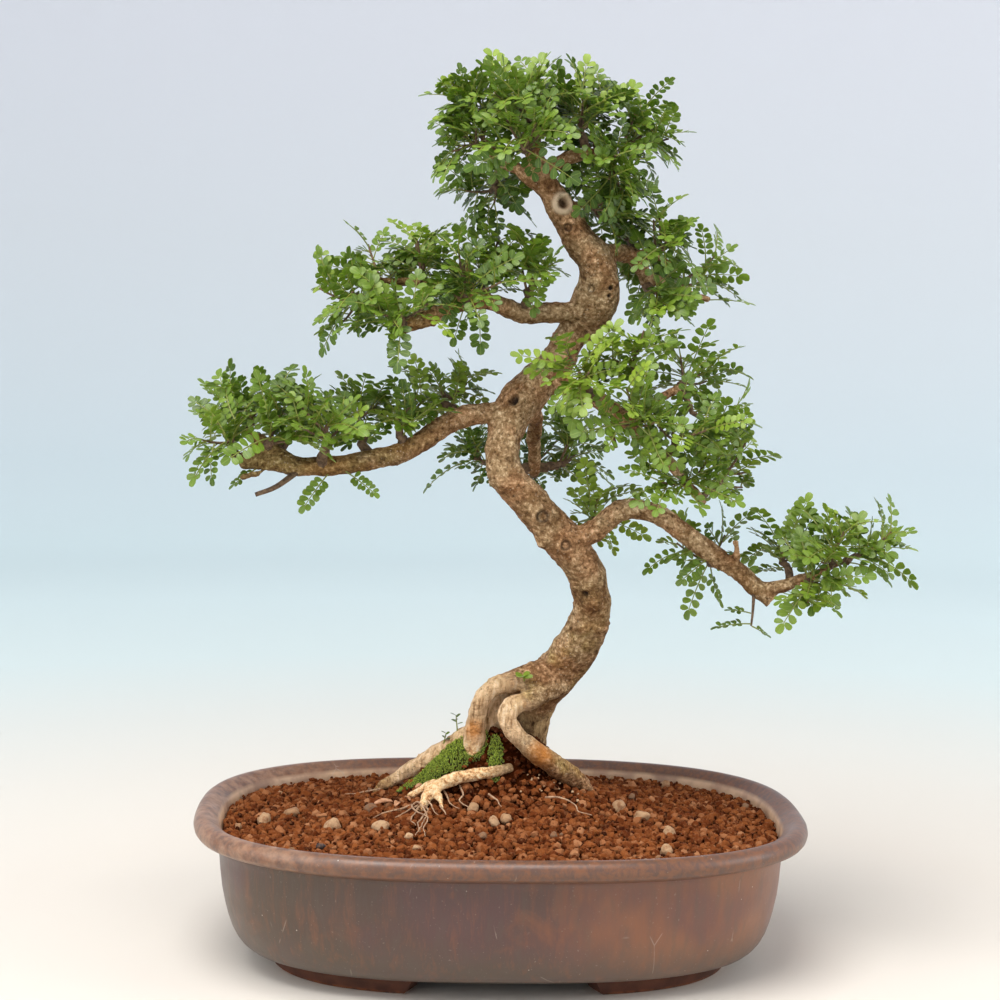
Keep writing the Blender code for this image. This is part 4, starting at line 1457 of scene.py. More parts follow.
        # Small crumbs lie low in the gaps and are darker than the large grains: partly their own tone,
        # partly painted shade of the gaps.
        for x, y in self.grid(*self.crumb_grid, draw):
            radius = draw.uniform(*self.crumb_radius)
            if self.inside(x, y, radius) and self.on_ball(x, y) <= 0.25:
                middle = self.at(x, y, draw.uniform(-1.8, 0.6))
                if self.free(middle, radius):
                    small.append((middle, radius, clamp(draw.gauss(*self.crumb_tone_and_gap_shade))))
        for x, y in self.grid(*self.ball_grid, draw):
            share = self.on_ball(x, y)
            is_bare = all(((x - cx) / rx) ** 2 + ((y - cy) / ry) ** 2 > 0.8
                          for cx, cy, rx, ry, _ in self.moss_patches)
            if share < 0.02 or not self.inside(x, y, 2) or not (is_bare or draw.random() < 0.12):
                continue
            radius = draw.uniform(*self.ball_radius)
            middle = self.at(x, y, draw.uniform(-0.8, 0.9) - 1.2)
            if self.free(middle, radius * 0.5):
                fine.append((middle, radius, clamp(draw.gauss(0.24 - 0.24 * share, 0.09))))
        stones += self.stones(draw)
        clay = GrainFinish().material()
        self.scatter("clay_grains_front", [g for g in large if g[0].y < 0], 0, 0.42, clay, self.seed + 1)
        self.scatter("clay_grains_back", [g for g in large if g[0].y >= 0], 0, 0.42, clay, self.seed + 5)
        self.scatter("clay_crumbs", small, 1, 0.3, clay, self.seed + 2)
        self.scatter("root_ball", fine, 0, 0.38, clay, self.seed + 3)
        self.scatter("pebbles", stones, 3, 0.3, PebbleFinish().material(), self.seed + 4)


@dataclass
class Leaf:
    """One pinnate leaf: where it starts, which way it goes and how it bends."""

    base: Vector
    ahead: Vector
    normal: Vector
    length: float
    pairs: int
    bend: float
    tone: float
    size: float
    roll: float = 0
    ramp: float = 7.6

    def frame_at(self, along: float) -> Setting:
        """Place, direction, sideways direction and normal on the arched stalk.

        Args:
            along: distance from its start.

        Returns:
            The four vectors.
        """
        rate = self.bend / self.length
        angle = rate * along
        place = self.base + (self.ahead * sin(angle) - self.normal * (1 - cos(angle))) / rate
        ahead = turned(self.ahead, -self.normal, angle)
        normal = turned(self.normal, self.ahead, angle)
        twist = self.roll * min(1, along / self.ramp)
        side = normal.cross(ahead)
        return place, ahead, turned(side, normal, twist), turned(normal, -side, twist)


class LeafCluster(Shell):
    """Collects leaves, and turns them into one mesh.

    Rows give the outline of a leaflet as places along it with their width, from its base to its tip.
    A setting is a leaflet's base, the directions to its tip and over its width, and that of its upper face.
    """

    rows = ((0.11, 0.45), (0.35, 0.85), (0.67, 1), (0.93, 0.7))
    thickness = 0.32
    cup = 0.17
    curl = 0.1
    lift = 0.3
    terminal_width = 0.72
    stalk_radius = 0.46
    stalk_taper = 0.22

    def __init__(self) -> None:
        """Start empty."""
        super().__init__()
        self.blades: List[Tuple[Setting, float, float, float, float]] = []

    def template(self) -> Tuple[np.ndarray, List[Face]]:
        """One leaflet with an upper skin of three columns and a lower one that meets in the middle.

        Returns:
            Rows of (along, across, thickness share, cup, mark across, mark side), and index lists.
        """
        points = [(0, 0, 0, 0, 0, 0)]
        for along, wide in self.rows:
            points += [(along, v * wide, 1 - v * v, v * v * wide, abs(v), 0) for v in (-1, 0, 1)]
        points += [(1, 0, 0, 0, 0, 0), (0.55, 0, -1, 0, 0, 1)]
        tip = len(points) - 2
        left = list(range(1, tip, 3))
        faces: List[Face] = []
        for c in (0, 1):
            faces += [(0, 1 + c, 2 + c), (tip, tip - 2 + c, tip - 3 + c)]
            faces += [(a + c, a + c + 3, a + c + 4, a + c + 1) for a in left[:-1]]
        faces += [(0, tip + 1, tip, *reversed(left)), (0, *(v + 2 for v in left), tip, tip + 1)]
        return np.array(points), faces

    def add_leaf(self, leaf: Leaf, draw: Draw) -> None:
        """Add a leaf with its stalk.

        Args:
            leaf: the leaf.
            draw: source of chance.
        """
        end = leaf.length - leaf.size * 1.05
        begin = min(end * 0.4, leaf.length * 0.2 + 1.2)
        path = [Vector((*leaf.frame_at(end * k / 6 + 0.2)[0], self.stalk_radius - self.stalk_taper * k / 6))
                for k in range(7)]
        self.tube(path, 4, mark=(leaf.tone, -1, 0))
        for k in range(leaf.pairs):
            share = k / max(1, leaf.pairs - 1)
            place, ahead, side, normal = leaf.frame_at(begin + (end - begin - 0.6) * share)
            grow = 0.8 + 0.2 * sin(pi * (0.25 + 0.6 * share))
            for hand in (-1, 1):
                length = leaf.size * grow * draw.uniform(0.9, 1.08)
                self.add_leaflet((place, ahead, side * hand, normal), length, leaf.tone, draw)
        length = leaf.size * draw.uniform(1, 1.15)
        self.add_blade(leaf.frame_at(end), length, length * self.terminal_width, leaf.tone, draw)

    def add_leaflet(self, joint: Setting, length: float, tone: float, draw: Draw) -> None:
        """Add one leaflet beside the stalk.

        Args:
            joint: where it joins the stalk, and the stalk's directions, with the sideways one towards it.
            length: its length.
            tone: shade of the leaf.
            draw: source of chance.
        """
        place, ahead, side, normal = joint
        forward = radians(draw.gauss(24, 8))
        fold = radians(draw.gauss(9, 9))
        axis = turned(turned(side, ahead, forward), normal, fold).normalized()
        across = square_to(ahead, axis)
        tilt = draw.gauss(0, 0.16)
        up = axis.cross(across)
        if up.dot(normal) < 0:
            up = -up
        tilted = (turned(across, up, tilt).normalized(), turned(up, -across, tilt).normalized())
        setting = (place + side * self.lift, axis, *tilted)
        self.add_blade(setting, length, length * draw.uniform(0.63, 0.75), tone, draw)

    def add_blade(self, setting: Setting, length: float, width: float, tone: float, draw: Draw) -> None:
        """Add one leaflet's blade.

        Args:
            setting: its setting.
            length: its length.
            width: its width.
            tone: shade of the leaf.
            draw: source of chance.
        """
        place, axis, across, up = setting
        if axis.cross(across).dot(up) > 0:
            across = -across
        shade = clamp(tone + draw.gauss(0, 0.07))
        self.blades.append(((place, axis, across, up), length, width, shade, draw.uniform(-0.4, 1.6)))

    def hand_over(self, name: str, material: Material, *nodes: str) -> None:
        """Turn all that was added into a piece.

        Args:
            name: its name.
            material: the leaf finish.
            nodes: CAD nodes that it stands for.
        """
        template, faces = self.template()
        settings, *sizes = zip(*self.blades)
        place, axis, across, up = (np.array([tuple(s[i]) for s in settings])[:, None, :] for i in range(4))
        length, width, shade, curl = (np.array(values)[:, None] for values in sizes)
        along, wide, thick, cup, mark, side = (template[:, i][None, :] for i in range(6))
        high = self.thickness * thick / 2 + self.cup * cup * width / 2
        high = high - self.curl * curl * length * along ** 2
        spots = place + axis * (along * length)[..., None] + across * (wide * width / 2)[..., None]
        spots += up * high[..., None]
        marks = np.stack(np.broadcast_arrays(shade, mark, side), axis=-1)
        for blade, blade_marks in zip(spots, marks):
            self.add(blade, faces, [tuple(m) for m in blade_marks])
        add_piece(self.make(name, material, 55, "blade"), Slot.LEAF, *nodes)


@dataclass
class RootDressing:
    """Moss, fine rootlets, bark chips and seedlings around the roots."""

    soil: SoilBed
    blade_height: Range = (1.4, 2.9)
    blade_width: float = 0.4
    blade_faces: Tuple[Face, ...] = (
        (0, 1, 4, 3), (3, 4, 6), (1, 2, 5, 4), (4, 5, 6), (2, 0, 3, 5), (5, 3, 6), (2, 1, 0),
    )
    thread_radius: float = 0.55
    thread_taper: float = 0.38
    seed: int = 23
    rootlets: Tuple[Tuple[Place, ...], ...] = (
        ((-41, -4, 74), (-40, -10, 75), (-37, -18, 72), (-38, -27, 70), (-40, -38, 69), (-42, -47, 68)),
        ((-41, -3, 74), (-44, -10, 74), (-42, -18, 73), (-36, -25, 71), (-38, -38, 69), (-37, -49, 68)),
        ((-38, -2, 75), (-35, -8, 75), (-34, -15, 73), (-31, -22, 72)),
        ((-43, -4, 73), (-50, -9, 71), (-58, -13, 70), (-63, -19, 69)),
        ((-28, 4, 78), (-26, -3, 76), (-24, -9, 74), (-21, -14, 73)),
        ((-20, 6, 80), (-19, 0, 77), (-20, -6, 75), (-17, -11, 74), (-15, -17, 73)),
        ((22, -8, 78), (27, -12, 79), (32, -13, 78), (36, -17, 76), (38, -22, 74), (44, -24, 73)),
        ((-60, 34, 71), (-70, 30, 70), (-78, 31, 69)),
        ((-40, -7, 72), (-42, -14, 72), (-44, -24, 70), (-42, -33, 69)),
        ((-38, -6, 72), (-36, -14, 72), (-39, -24, 70), (-41, -32, 69), (-40, -42, 68)),
        ((-41, -6, 72), (-46, -13, 71), (-52, -20, 70)),
        ((-30, -10, 74), (-28, -17, 73), (-27, -22, 72)),
        ((-6, -6, 79), (-2, -11, 77), (0, -17, 75)),
    )
    seedlings: Tuple[Tuple[Place, Place, float, float, float], ...] = (
        ((11.5, 13.5, 132.5), (-0.2, -0.8, 0.7), 5, 4.6, 0.12),
        ((-21, 24, 102), (-0.1, -0.1, 1), 11, 3.2, 0.75), ((-28.5, 24, 96), (0.2, -0.2, 1), 8, 2.6, 0.7),
    )
    chips: Tuple[Numbers, ...] = (
        (-58, 2, 9, 3, 0.3), (-51, -3, 5.5, 2.8, 1.2), (-40, 12, 5, 2.2, 0.6), (-46, 3, 4, 2, 2.2),
    )

    def moss(self) -> None:
        """Make the moss as many short pointed blades."""
        draw = random.Random(self.seed)
        shell = Shell()
        for cx, cy, rx, ry, count in self.soil.moss_patches:
            for _ in range(int(count)):
                angle = draw.uniform(0, FULL_TURN)
                reach = sqrt(draw.random())
                foot = self.soil.at(cx + rx * reach * cos(angle), cy + ry * reach * sin(angle), -0.6)
                lean = Vector((draw.gauss(0, 0.35), draw.gauss(-0.15, 0.35), 1)).normalized()
                tall = draw.uniform(*self.blade_height) * (1 - 0.45 * reach)
                side = lean.orthogonal().normalized()
                side.rotate(Quaternion(lean, draw.uniform(0, 6.28)))
                other = lean.cross(side)
                blade, marks = [], []
                for level, width in ((0, 0.8), (0.55, 1)):
                    for angle in turns(3):
                        outward = turned(side, other, angle) * self.blade_width * width
                        blade.append(foot + lean * tall * level + outward)
                        marks.append((level, 0.75 * reach * draw.random(), 0))
                blade.append(foot + lean * tall)
                marks.append((1, 0.6 * reach * draw.random(), 0))
                shell.add(blade, self.blade_faces, marks)
        add_piece(shell.make("moss", MossFinish().material(), 80, "blade"), Slot.LEAF)

    def threads(self) -> None:
        """Make the fine pale rootlets that lie on the soil."""
        noise.seed_set(self.seed)
        shell = Shell()
        for number, points in enumerate(self.rootlets):
            thinner = self.thread_taper / (len(points) - 1)
            stations = [(x, y, max(z, self.soil.height(x, y) + 0.9), self.thread_radius - thinner * k)
                        for k, (x, y, z) in enumerate(points)]
            path = smooth_path(stations, 1.6)
            for i, spot in enumerate(path):
                away = min(1, i / 4)
                x, y, z = noise.noise_vector(spot.xyz / 5 + Vector((number, 0, 0))) * away
                path[i] = spot + Vector((x, y, abs(z) * 0.5, 0))
            shell.tube(path, 6)
        finish = PlainFinish("rootlets", (0.55, 0.36, 0.22), (0.3, 0.17, 0.1), 3, 0.8, 0.1)
        add_piece(shell.make("rootlets", finish.material()), Slot.BARK)

    def sprouts(self) -> None:
        """Make the seedlings by the root and the sprout on the trunk's foot."""
        draw = random.Random(self.seed + 1)
        cluster = LeafCluster()
        for place, ahead, tall, size, tone in self.seedlings:
            foot = Vector(place)
            way = Vector(ahead).normalized()
            path = [Vector((*(foot + way * tall * k / 3), 0.45 - 0.08 * k)) for k in range(4)]
            cluster.tube(path, 5, mark=(tone, -1, 0))
            for k in range(5):
                sideways = turned(Vector((1, 0, 0)), Vector((0, 1, 0)), k * GOLDEN_ANGLE)
                axis = (sideways + way * 0.5).normalized()
                up = square_to(way, axis)
                setting = (foot + way * tall * (0.55 + 0.11 * k), axis, axis.cross(up), up)
                cluster.add_blade(setting, size * draw.uniform(0.8, 1.2), size * 0.55, tone, draw)
        cluster.hand_over("seedlings", LeafFinish().material())

    def litter(self) -> None:
        """Make the curled chips of bark."""
        shell = Shell()
        for x, y, length, width, turn in self.chips:
            along = Vector((cos(turn), sin(turn), 0.08))
            side = Vector((-sin(turn), cos(turn), 0.25))
            middle = self.soil.at(x, y, 1.6)
            rings = []
            for i in range(5):
                t = i / 4 - 0.5
                wide = width * (1 - 2.2 * t * t) * 0.5
                curl = 1.1 * cos(t * 3.1)
                top = [middle + along * length * t + side * wide * s + Vector((0, 0, curl + 0.35 * abs(s)))
                       for s in (1, 0, -1)]
                rings.append(top + [p - Vector((0, 0, 0.5)) for p in reversed(top)])
            shell.loft(rings)
        finish = PlainFinish("bark_chips", (0.6, 0.32, 0.18), (0.42, 0.19, 0.09), 2, 0.75, 0.2)
        add_piece(shell.make("bark_chips", finish.material()), Slot.BARK)

    def build(self) -> None:
        """Make all the dressing."""
        self.moss()
        self.threads()
        self.sprouts()
        self.litter()


@dataclass(frozen=True)
class Pad:
    """One pad of foliage: its limbs, the tips of its twigs, its shade and the room of its leaves.

    The room is given from left to right and from bottom to top. Pruned is the share of the leaves before
    a limb that is cut away so that the wood shows, and shoots the number of side shoots of a twig.
    """

    limbs: Tuple[str, ...]
    tips: Tuple[Place, ...]
    tone: float
    pruned: float
    room: Numbers
    shoots: int = 3

    def has_room(self, place: Vector) -> bool:
        """Whether a place is within the pad's room."""
        left, right, bottom, top = self.room
        return left < place.x < right and bottom < place.z < top

    def painted_depth_shade(self, place: Vector, inner_shade: float) -> float:
        """Painted shade: how much darker the leaves at a place are, the inner and lower ones being darkened
        where the pad shades them.

        Args:
            place: the place.
            inner_shade: how much darker the inner leaves are.

        Returns:
            What to add to the shade.
        """
        left, right, bottom, top = self.room
        away = place - middle_of(self.tips)
        reach = Vector((away.x / (right - left), away.y / 80, away.z / (top - bottom))).length * 2
        return inner_shade * (0.75 - min(1.2, reach)) - 0.18 * away.z / (top - bottom)


@dataclass
class Spray:
    """What the leaves of a spray share: the pad, the twig's direction away from it, shade and chance."""

    pad: Pad
    outward: Vector
    tone: float
    draw: Draw
    cluster: LeafCluster = field(default_factory=LeafCluster)


@dataclass
class Foliage:
    """Twigs and their leafy sprays, pad by pad."""

    wood: Wood
    pads: Dict[str, Pad] = field(default_factory=lambda: {
        "crown": Pad(("crown_left", "crown_right", "crown_back", "trunk_top"), (
            (-14, 2, 414), (-20, -8, 397), (-10, 6, 374), (6, -18, 414), (16, 20, 417), (32, -6, 411),
            (38, 20, 396), (60, 6, 402), (50, -14, 384), (4, -32, 393), (42, -2, 368),
        ), 0.57, 0.35, (-38, 84, 350, 446), 5),
        "upper_left": Pad(("upper_left", "upper_left_rise"), (
            (-76, -20, 319), (-62, 0, 329), (-52, -38, 314), (-42, -12, 334), (-22, -30, 326),
            (-14, 2, 336), (12, -14, 336),
        ), 0.46, 0.55, (-96, 26, 302, 360), 4),
        "low_left": Pad(("low_left", "low_left_rise"), (
            (-133, -34, 253), (-122, -12, 266), (-112, -42, 256), (-100, -16, 268), (-86, -44, 262),
            (-72, -10, 266), (-54, -20, 264), (-32, 4, 277),
        ), 0.5, 0.95, (-154, -4, 232, 300)),
        "right_upper": Pad(("right_upper", "right_upper_arm"), (
            (60, 16, 356), (76, -2, 350), (88, 22, 334), (70, 36, 340), (72, -8, 328),
        ), 0.46, 0.9, (44, 118, 310, 380)),
        "right_mid": Pad(("right_mid", "right_mid_rise"), (
            (32, -38, 288), (56, -30, 295), (86, -12, 286), (58, -50, 266), (80, -50, 262), (98, -26, 263),
            (84, -44, 238), (108, -12, 242),
        ), 0.4, 0.4, (18, 122, 220, 311)),
        "right_low": Pad(("right_low", "right_low_shoot"), (
            (136, -6, 203), (156, -32, 206), (174, -14, 202), (146, -32, 190), (102, 4, 195), (44, 10, 215),
        ), 0.34, 0.95, (28, 196, 172, 231), 2),
        "back": Pad(("back",), (
            (-14, 58, 241), (36, 60, 241), (18, 76, 238),
        ), 0.62, 0, (-46, 72, 222, 274)),
    })
    marked_leaves: Dict[str, Tuple[Tuple[Place, Place, int, float], ...]] = field(default_factory=lambda: {
        "upper_left_03": (((-55, -22, 306), (-56, -28, 291), 5, 0.55),),
        "upper_left_05": (
            ((-15, -14, 317), (-14, -23, 297), 4, 0.6), ((-23, -16, 316), (-28, -26, 301), 4, 0.6),
        ),
        "low_left_05": (
            ((-85, -23, 239), (-100, -33, 221), 6, 0.35), ((-78, -23, 239), (-61, -31, 229), 6, 0.35),
        ),
        "low_left_03": (((-118, -28, 241), (-134, -35, 233), 5, 0.4),),
        "right_mid_01": (
            ((30, -37, 290), (0, -42, 300), 6, 0.15), ((31, -37, 289), (13, -43, 285), 5, 0.15),
            ((32, -38, 287), (17, -43, 270), 5, 0.3), ((33, -38, 286), (28, -43, 261), 5, 0.35),
        ),
        "right_low_03": (
            ((174, -14, 204), (200, -20, 209), 6, 0.1), ((172, -14, 204), (194, -20, 215), 5, 0.15),
        ),
        "right_low_01": (((138, -8, 205), (147, -15, 231), 6, 0.25),),
        "right_low_02": (((158, -24, 203), (172, -26, 224), 5, 0.2),),
        "right_low_05": (
            ((93, -15, 203), (76, -20, 199), 5, 0.35), ((99, -16, 199), (82, -21, 187), 5, 0.45),
        ),
        "right_low_04": (
            ((119, -25, 168), (99, -27, 169), 5, 0.55), ((119, -24, 173), (106, -27, 177), 4, 0.55),
            ((119, -25, 167), (129, -28, 163), 3, 0.5),
        ),
        "right_upper_03": (((99, 13, 324), (123, 11, 326), 5, 0.2),),
        "crown_08": (((66, 3, 402), (89, -1, 409), 5, 0.15),),
        "crown_04": (
            ((4, -17, 419), (-13, -18, 443), 6, 0.1), ((6, -18, 416), (13, -16, 441), 5, 0.2),
        ),
        "crown_06": (
            ((32, -6, 413), (35, -8, 441), 6, 0.12), ((34, -6, 412), (61, -8, 430), 6, 0.15),
        ),
        "crown_01": (
            ((-14, 1, 415), (-33, -8, 430), 5, 0.15), ((-14, 1, 412), (-41, -10, 411), 6, 0.2),
        ),
    })
    marked_twigs: Tuple[Limb, ...] = (
        ((-99, -24, 240, 1.7), (-110, -33, 232, 1.3), (-120, -34, 228, 1.1)),
        ((44, -10, 274, 2.2), (48, -17, 263, 1.7), (52, -20, 252, 1)),
        ((121, -18, 185, 1), (120, -23, 175, 0.7), (119, -25, 167, 0.5)),
    )
    twig_root: float = 2.9
    twig_tip: float = 1
    twig_share: float = 0.85
    lift: float = 0.45
    elbow: float = 0.45
    hub_rise: float = 0.7
    hub_radius: float = 1.6
    cad_droop: float = 42
    cad_reach: float = 26.8
    cad_size: Range = (4.9, 5.6)
    shoot_leaves: int = 9
    shoot_start: float = 0.34
    side_leaves: int = 5
    side_start: float = 0.35
    side_length: Range = (9, 20)
    leaf_lengths: Range = (17, 28)
    leaflet_size: Range = (4.1, 5.3)
    # Painted shade of the pads' inner leaves.
    inner_shade: float = 0.38
    leaf_opening: Range = (78, 38)
    leaf_bends: Range = (22, 58)
    leaf_tries: int = 5
    shoot_tries: int = 8
    shoot_starts: Tuple[int, ...] = (5, 7, 6, 4)
    marked_bend: float = 0.35
    steep_drop: float = 9
    gap: float = 2.6
    edge_gap: float = 0.4
    veil: float = 45
    seed: int = 97

    def twig_path(self, root: Vector, elbow: Vector, tip: Vector, draw: Draw) -> List[Vector]:
        """Points with radii along a slightly crooked twig.

        Args:
            root: where it starts, with the limb's radius.
            elbow: where it bends.
            tip: where it ends.
            draw: source of chance.

        Returns:
            Vectors of four numbers.
        """
        foot = min(self.twig_root, root.w * self.twig_share)
        path = []
        for k in range(9):
            t = k / 8
            place = root.xyz * (1 - t) ** 2 + elbow * 2 * t * (1 - t) + tip * t * t
            wave = sin(pi * t) * 0.9
            place += Vector([draw.gauss(0, wave) for _ in range(3)])
            knob = 0.15 if k % 3 == 0 else 0
            fade = t ** 1.3
            path.append(Vector((*place, foot * (1 - fade) + self.twig_tip * fade + knob)))
        return path

    def cad_leaves(self, name: str, hub: Vector, way: Vector) -> List[Tuple[Vector, Vector, float]]:
        """Read how the leaves of a CAD spray lie.

        Args:
            name: name of the CAD node.
            hub: where its leaves meet.
            way: the twig's direction there.

        Returns:
            Start, chord to the tip and roll of each leaf.
        """
        groups: List[List[Vector]] = []
        for spot in (part_place(vertex.co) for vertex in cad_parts[name].data.vertices):
            if (spot - hub).length < self.cad_reach:
                continue
            for group in groups:
                if (group[0] - spot).length < 9:
                    group.append(spot)
                    break
            else:
                groups.append([spot])
        leaves = []
        for group in groups:
            tip = middle_of(group)
            outward = square_to(tip - hub, way)
            start = hub + outward * self.hub_radius
            far = max(group, key=lambda p: (p - group[0]).length)
            side = (far - group[0]).normalized()
            flat = way.cross(outward)
            if side.dot(flat) < 0:
                side.negate()
            leaves.append((start, tip - start, atan2(side.dot(way), side.dot(flat))))
        return leaves

    def leaf_from_cad(self, start: Vector, chord: Vector, roll: float, way: Vector, tone: float,
                      draw: Draw) -> Leaf:
        """A fine leaf along a CAD leaf.

        Args:
            start: its base.
            chord: from its base to its tip.
            roll: its turn about its own length.
            way: the twig's direction.
            tone: its shade.
            draw: source of chance.

        Returns:
            The leaf.
        """
        bend = radians(self.cad_droop)
        direction = chord.normalized()
        outward = square_to(direction, way)
        rise = atan2(direction.dot(way), direction.dot(outward)) + bend / 2
        length = chord.length / (sin(bend / 2) / (bend / 2))
        size = draw.uniform(*self.cad_size)
        pairs = draw.choice((5, 6, 6))
        ahead = turned(outward, way, rise)
        return Leaf(start, ahead, turned(way, -outward, rise), length, pairs, bend, tone, size, roll)

    def marked_leaf(self, start: Place, tip: Place, pairs: int, tone: float) -> Leaf:
        """A leaf from one given place to another; a steep one turns its face to the front, another upward.

        Args:
            start: its base.
            tip: its end.
            pairs: pairs of leaflets.
            tone: its shade.

        Returns:
            The leaf.
        """
        ahead = Vector(tip) - Vector(start)
        length = ahead.length
        ahead.normalize()
        is_steep = abs(start[2] - tip[2]) > self.steep_drop
        light = Vector((0, -0.8, 0.7)) if is_steep else Vector((0, -0.15, 1))
        size = min(5.2, 1.25 * length / (pairs + 1))
        normal = square_to(light, ahead)
        return Leaf(Vector(start), ahead, normal, length, pairs, self.marked_bend, tone, size)

    def is_clear(self, leaf: Leaf) -> bool:
        """Whether a leaf keeps clear of the wood, with its stalk and with its edges.

        Args:
            leaf: the leaf.

        Returns:
            True if it does.
        """
        for share in (0.35, 0.55, 0.75, 1):
            place, _, side, _ = leaf.frame_at(leaf.length * share)
            if self.wood.clearance(place) < self.gap:
                return False
            edges = (place + side * leaf.size, place - side * leaf.size)
            if share < 1 and min(map(self.wood.clearance, edges)) < self.edge_gap:
                return False
        return True

    def hides_wood(self, leaf: Leaf) -> bool:
        """Whether a leaf hangs close in front of a limb."""
        places = (leaf.frame_at(leaf.length * share)[0] for share in (0.4, 0.7, 1))
        backward = Vector((0, 1, -0.15))
        return any(self.wood.search.ray_cast(place, backward, self.veil)[0] for place in places)

    def leaf_on_shoot(self, spray: Spray, place: Vector, shoot: Vector, azimuth: float,
                      share: float) -> Optional[Leaf]:
        """A leaf from a shoot with its face to the light, at the first of a few turns that is free.

        Args:
            spray: the spray that it belongs to.
            place: where it starts.
            shoot: direction of the shoot.
            azimuth: its turn round the shoot.
            share: how far along the shoot it is, from 0 to 1.

        Returns:
            The leaf, or None where the wood is in the way.
        """
        draw = spray.draw
        opening = radians(self.leaf_opening[0] - self.leaf_opening[1] * share + draw.gauss(0, 8))
        young = max(0, share - 0.7) * draw.random() * 2
        # The pad's painted shade darkens inner and lower leaves.
        tone = spray.tone + spray.pad.painted_depth_shade(place, self.inner_shade) + draw.gauss(0, 0.13)
        flat = shoot.orthogonal().normalized()
        other = shoot.cross(flat)
        for attempt in range(self.leaf_tries):
            around = turned(flat, other, azimuth + attempt * 0.7)
            ahead = (turned(shoot, around, opening) + Vector((0, 0, 0.25))).normalized()
            light = Vector((draw.gauss(0, 0.4), draw.gauss(-0.15, 0.4), 1)) + spray.outward * 0.4
            normal = light - ahead * light.dot(ahead)
            if normal.length < 0.15:
                continue
            length = draw.uniform(*self.leaf_lengths) * (1 - 0.35 * young)
            size = draw.uniform(*self.leaflet_size) * (1 - 0.25 * young)
            pairs = max(3, min(6, round((length - size) / (size * 0.88))))
            bend = radians(draw.uniform(*self.leaf_bends))
            roll = radians(draw.gauss(0, 14))
            shade = max(0, tone - 0.3 * young)
            leaf = Leaf(place, ahead, normal.normalized(), length, pairs, bend, shade, size, roll)
            is_pruned = draw.random() < spray.pad.pruned and self.hides_wood(leaf)
            if spray.pad.has_room(leaf.frame_at(length)[0]) and not is_pruned and self.is_clear(leaf):
                return leaf
        return None

    def clothe(self, spray: Spray, path: Sequence[Vector], count: int, first: float) -> None:
        """Set leaves along the end of a shoot.

        Args:
            spray: the spray that the shoot belongs to.
            path: the shoot.
            count: number of leaves.
            first: share of the shoot that stays bare.
        """
        draw = spray.draw
        azimuth = draw.uniform(0, FULL_TURN)
        for k in range(count):
            share = first + (1 - first) * (k + 0.5) / count
            spot = share * (len(path) - 1)
            i = min(int(spot), len(path) - 2)
            place = path[i].xyz.lerp(path[i + 1].xyz, spot - i)
            shoot = (path[i + 1].xyz - path[i].xyz).normalized()
            leaf = self.leaf_on_shoot(spray, place, shoot, azimuth, share)
            azimuth += GOLDEN_ANGLE
            if leaf:
                spray.cluster.add_leaf(leaf, draw)

    def side_shoot(self, spray: Spray, path: Sequence[Vector], number: int) -> List[Vector]:
        """A thin shoot from the side of a twig.

        Args:
            spray: the spray that it belongs to.
            path: the twig.
            number: which of its side shoots it is.

        Returns:
            Vectors of place and radius.
        """
        draw = spray.draw
        start = path[self.shoot_starts[number % len(self.shoot_starts)]]
        ahead = (path[-1].xyz - path[4].xyz).normalized()
        shoot: List[Vector] = []
        for _ in range(self.shoot_tries):
            flat = square_to(Vector((draw.gauss(0, 1), draw.gauss(0, 1), draw.gauss(0.15, 0.6))), ahead)
            way = (ahead * 0.45 + flat + spray.outward * 0.45).normalized()
            length = draw.uniform(*self.side_length)
            shoot = []
            for t in (0, 0.2, 0.4, 0.6, 0.8, 1):
                place = start.xyz + way * length * t + Vector((0, 0, 0.22 * length * t * t))
                shoot.append(Vector((*place, 0.75 - 0.28 * t)))
            if min(self.wood.clearance(p.xyz) for p in shoot[2:]) > 3:
                break
        return shoot

    def grow(self, name: str, place: Place, pad: Pad, material: Material, seed: int) -> List[List[Vector]]:
        """Grow one spray and hand it over.

        Args:
            name: its name, as the CAD node has it.
            place: the tip of its twig.
            pad: the pad that it belongs to.
            material: the leaf finish.
            seed: start of its chance.

        Returns:
            The paths of its twig and side shoots.
        """
        draw = random.Random(seed)
        tip = Vector(place)
        root = min(self.wood.samples(pad.limbs), key=lambda s: (s.xyz - tip).length - s.w)
        span = tip - root.xyz
        way = (span.normalized() + Vector((0, 0, self.lift))).normalized()
        hub = tip + way * self.hub_rise
        spray = Spray(pad, (tip - middle_of(pad.tips)).normalized(), pad.tone + draw.gauss(0, 0.06), draw)
        for start, chord, roll in self.cad_leaves("leaves_" + name, hub, way):
            # The pad's painted shade darkens inner and lower leaves.
            tone = spray.tone + pad.painted_depth_shade(start + chord * 0.6, self.inner_shade) + draw.gauss(0, 0.1)
            spray.cluster.add_leaf(self.leaf_from_cad(start, chord, roll, way, tone, draw), draw)
        for leaf in self.marked_leaves.get(name, ()):
            spray.cluster.add_leaf(self.marked_leaf(*leaf), draw)
        main = self.twig_path(root, tip - way * span.length * self.elbow, tip, draw)
        self.clothe(spray, main, self.shoot_leaves, self.shoot_start)
        paths = [main]
        for number in range(pad.shoots):
            paths.append(self.side_shoot(spray, main, number))
            self.clothe(spray, paths[-1], self.side_leaves, self.side_start)
        spray.cluster.hand_over("spray_" + name, material, "leaves_" + name)
        return paths

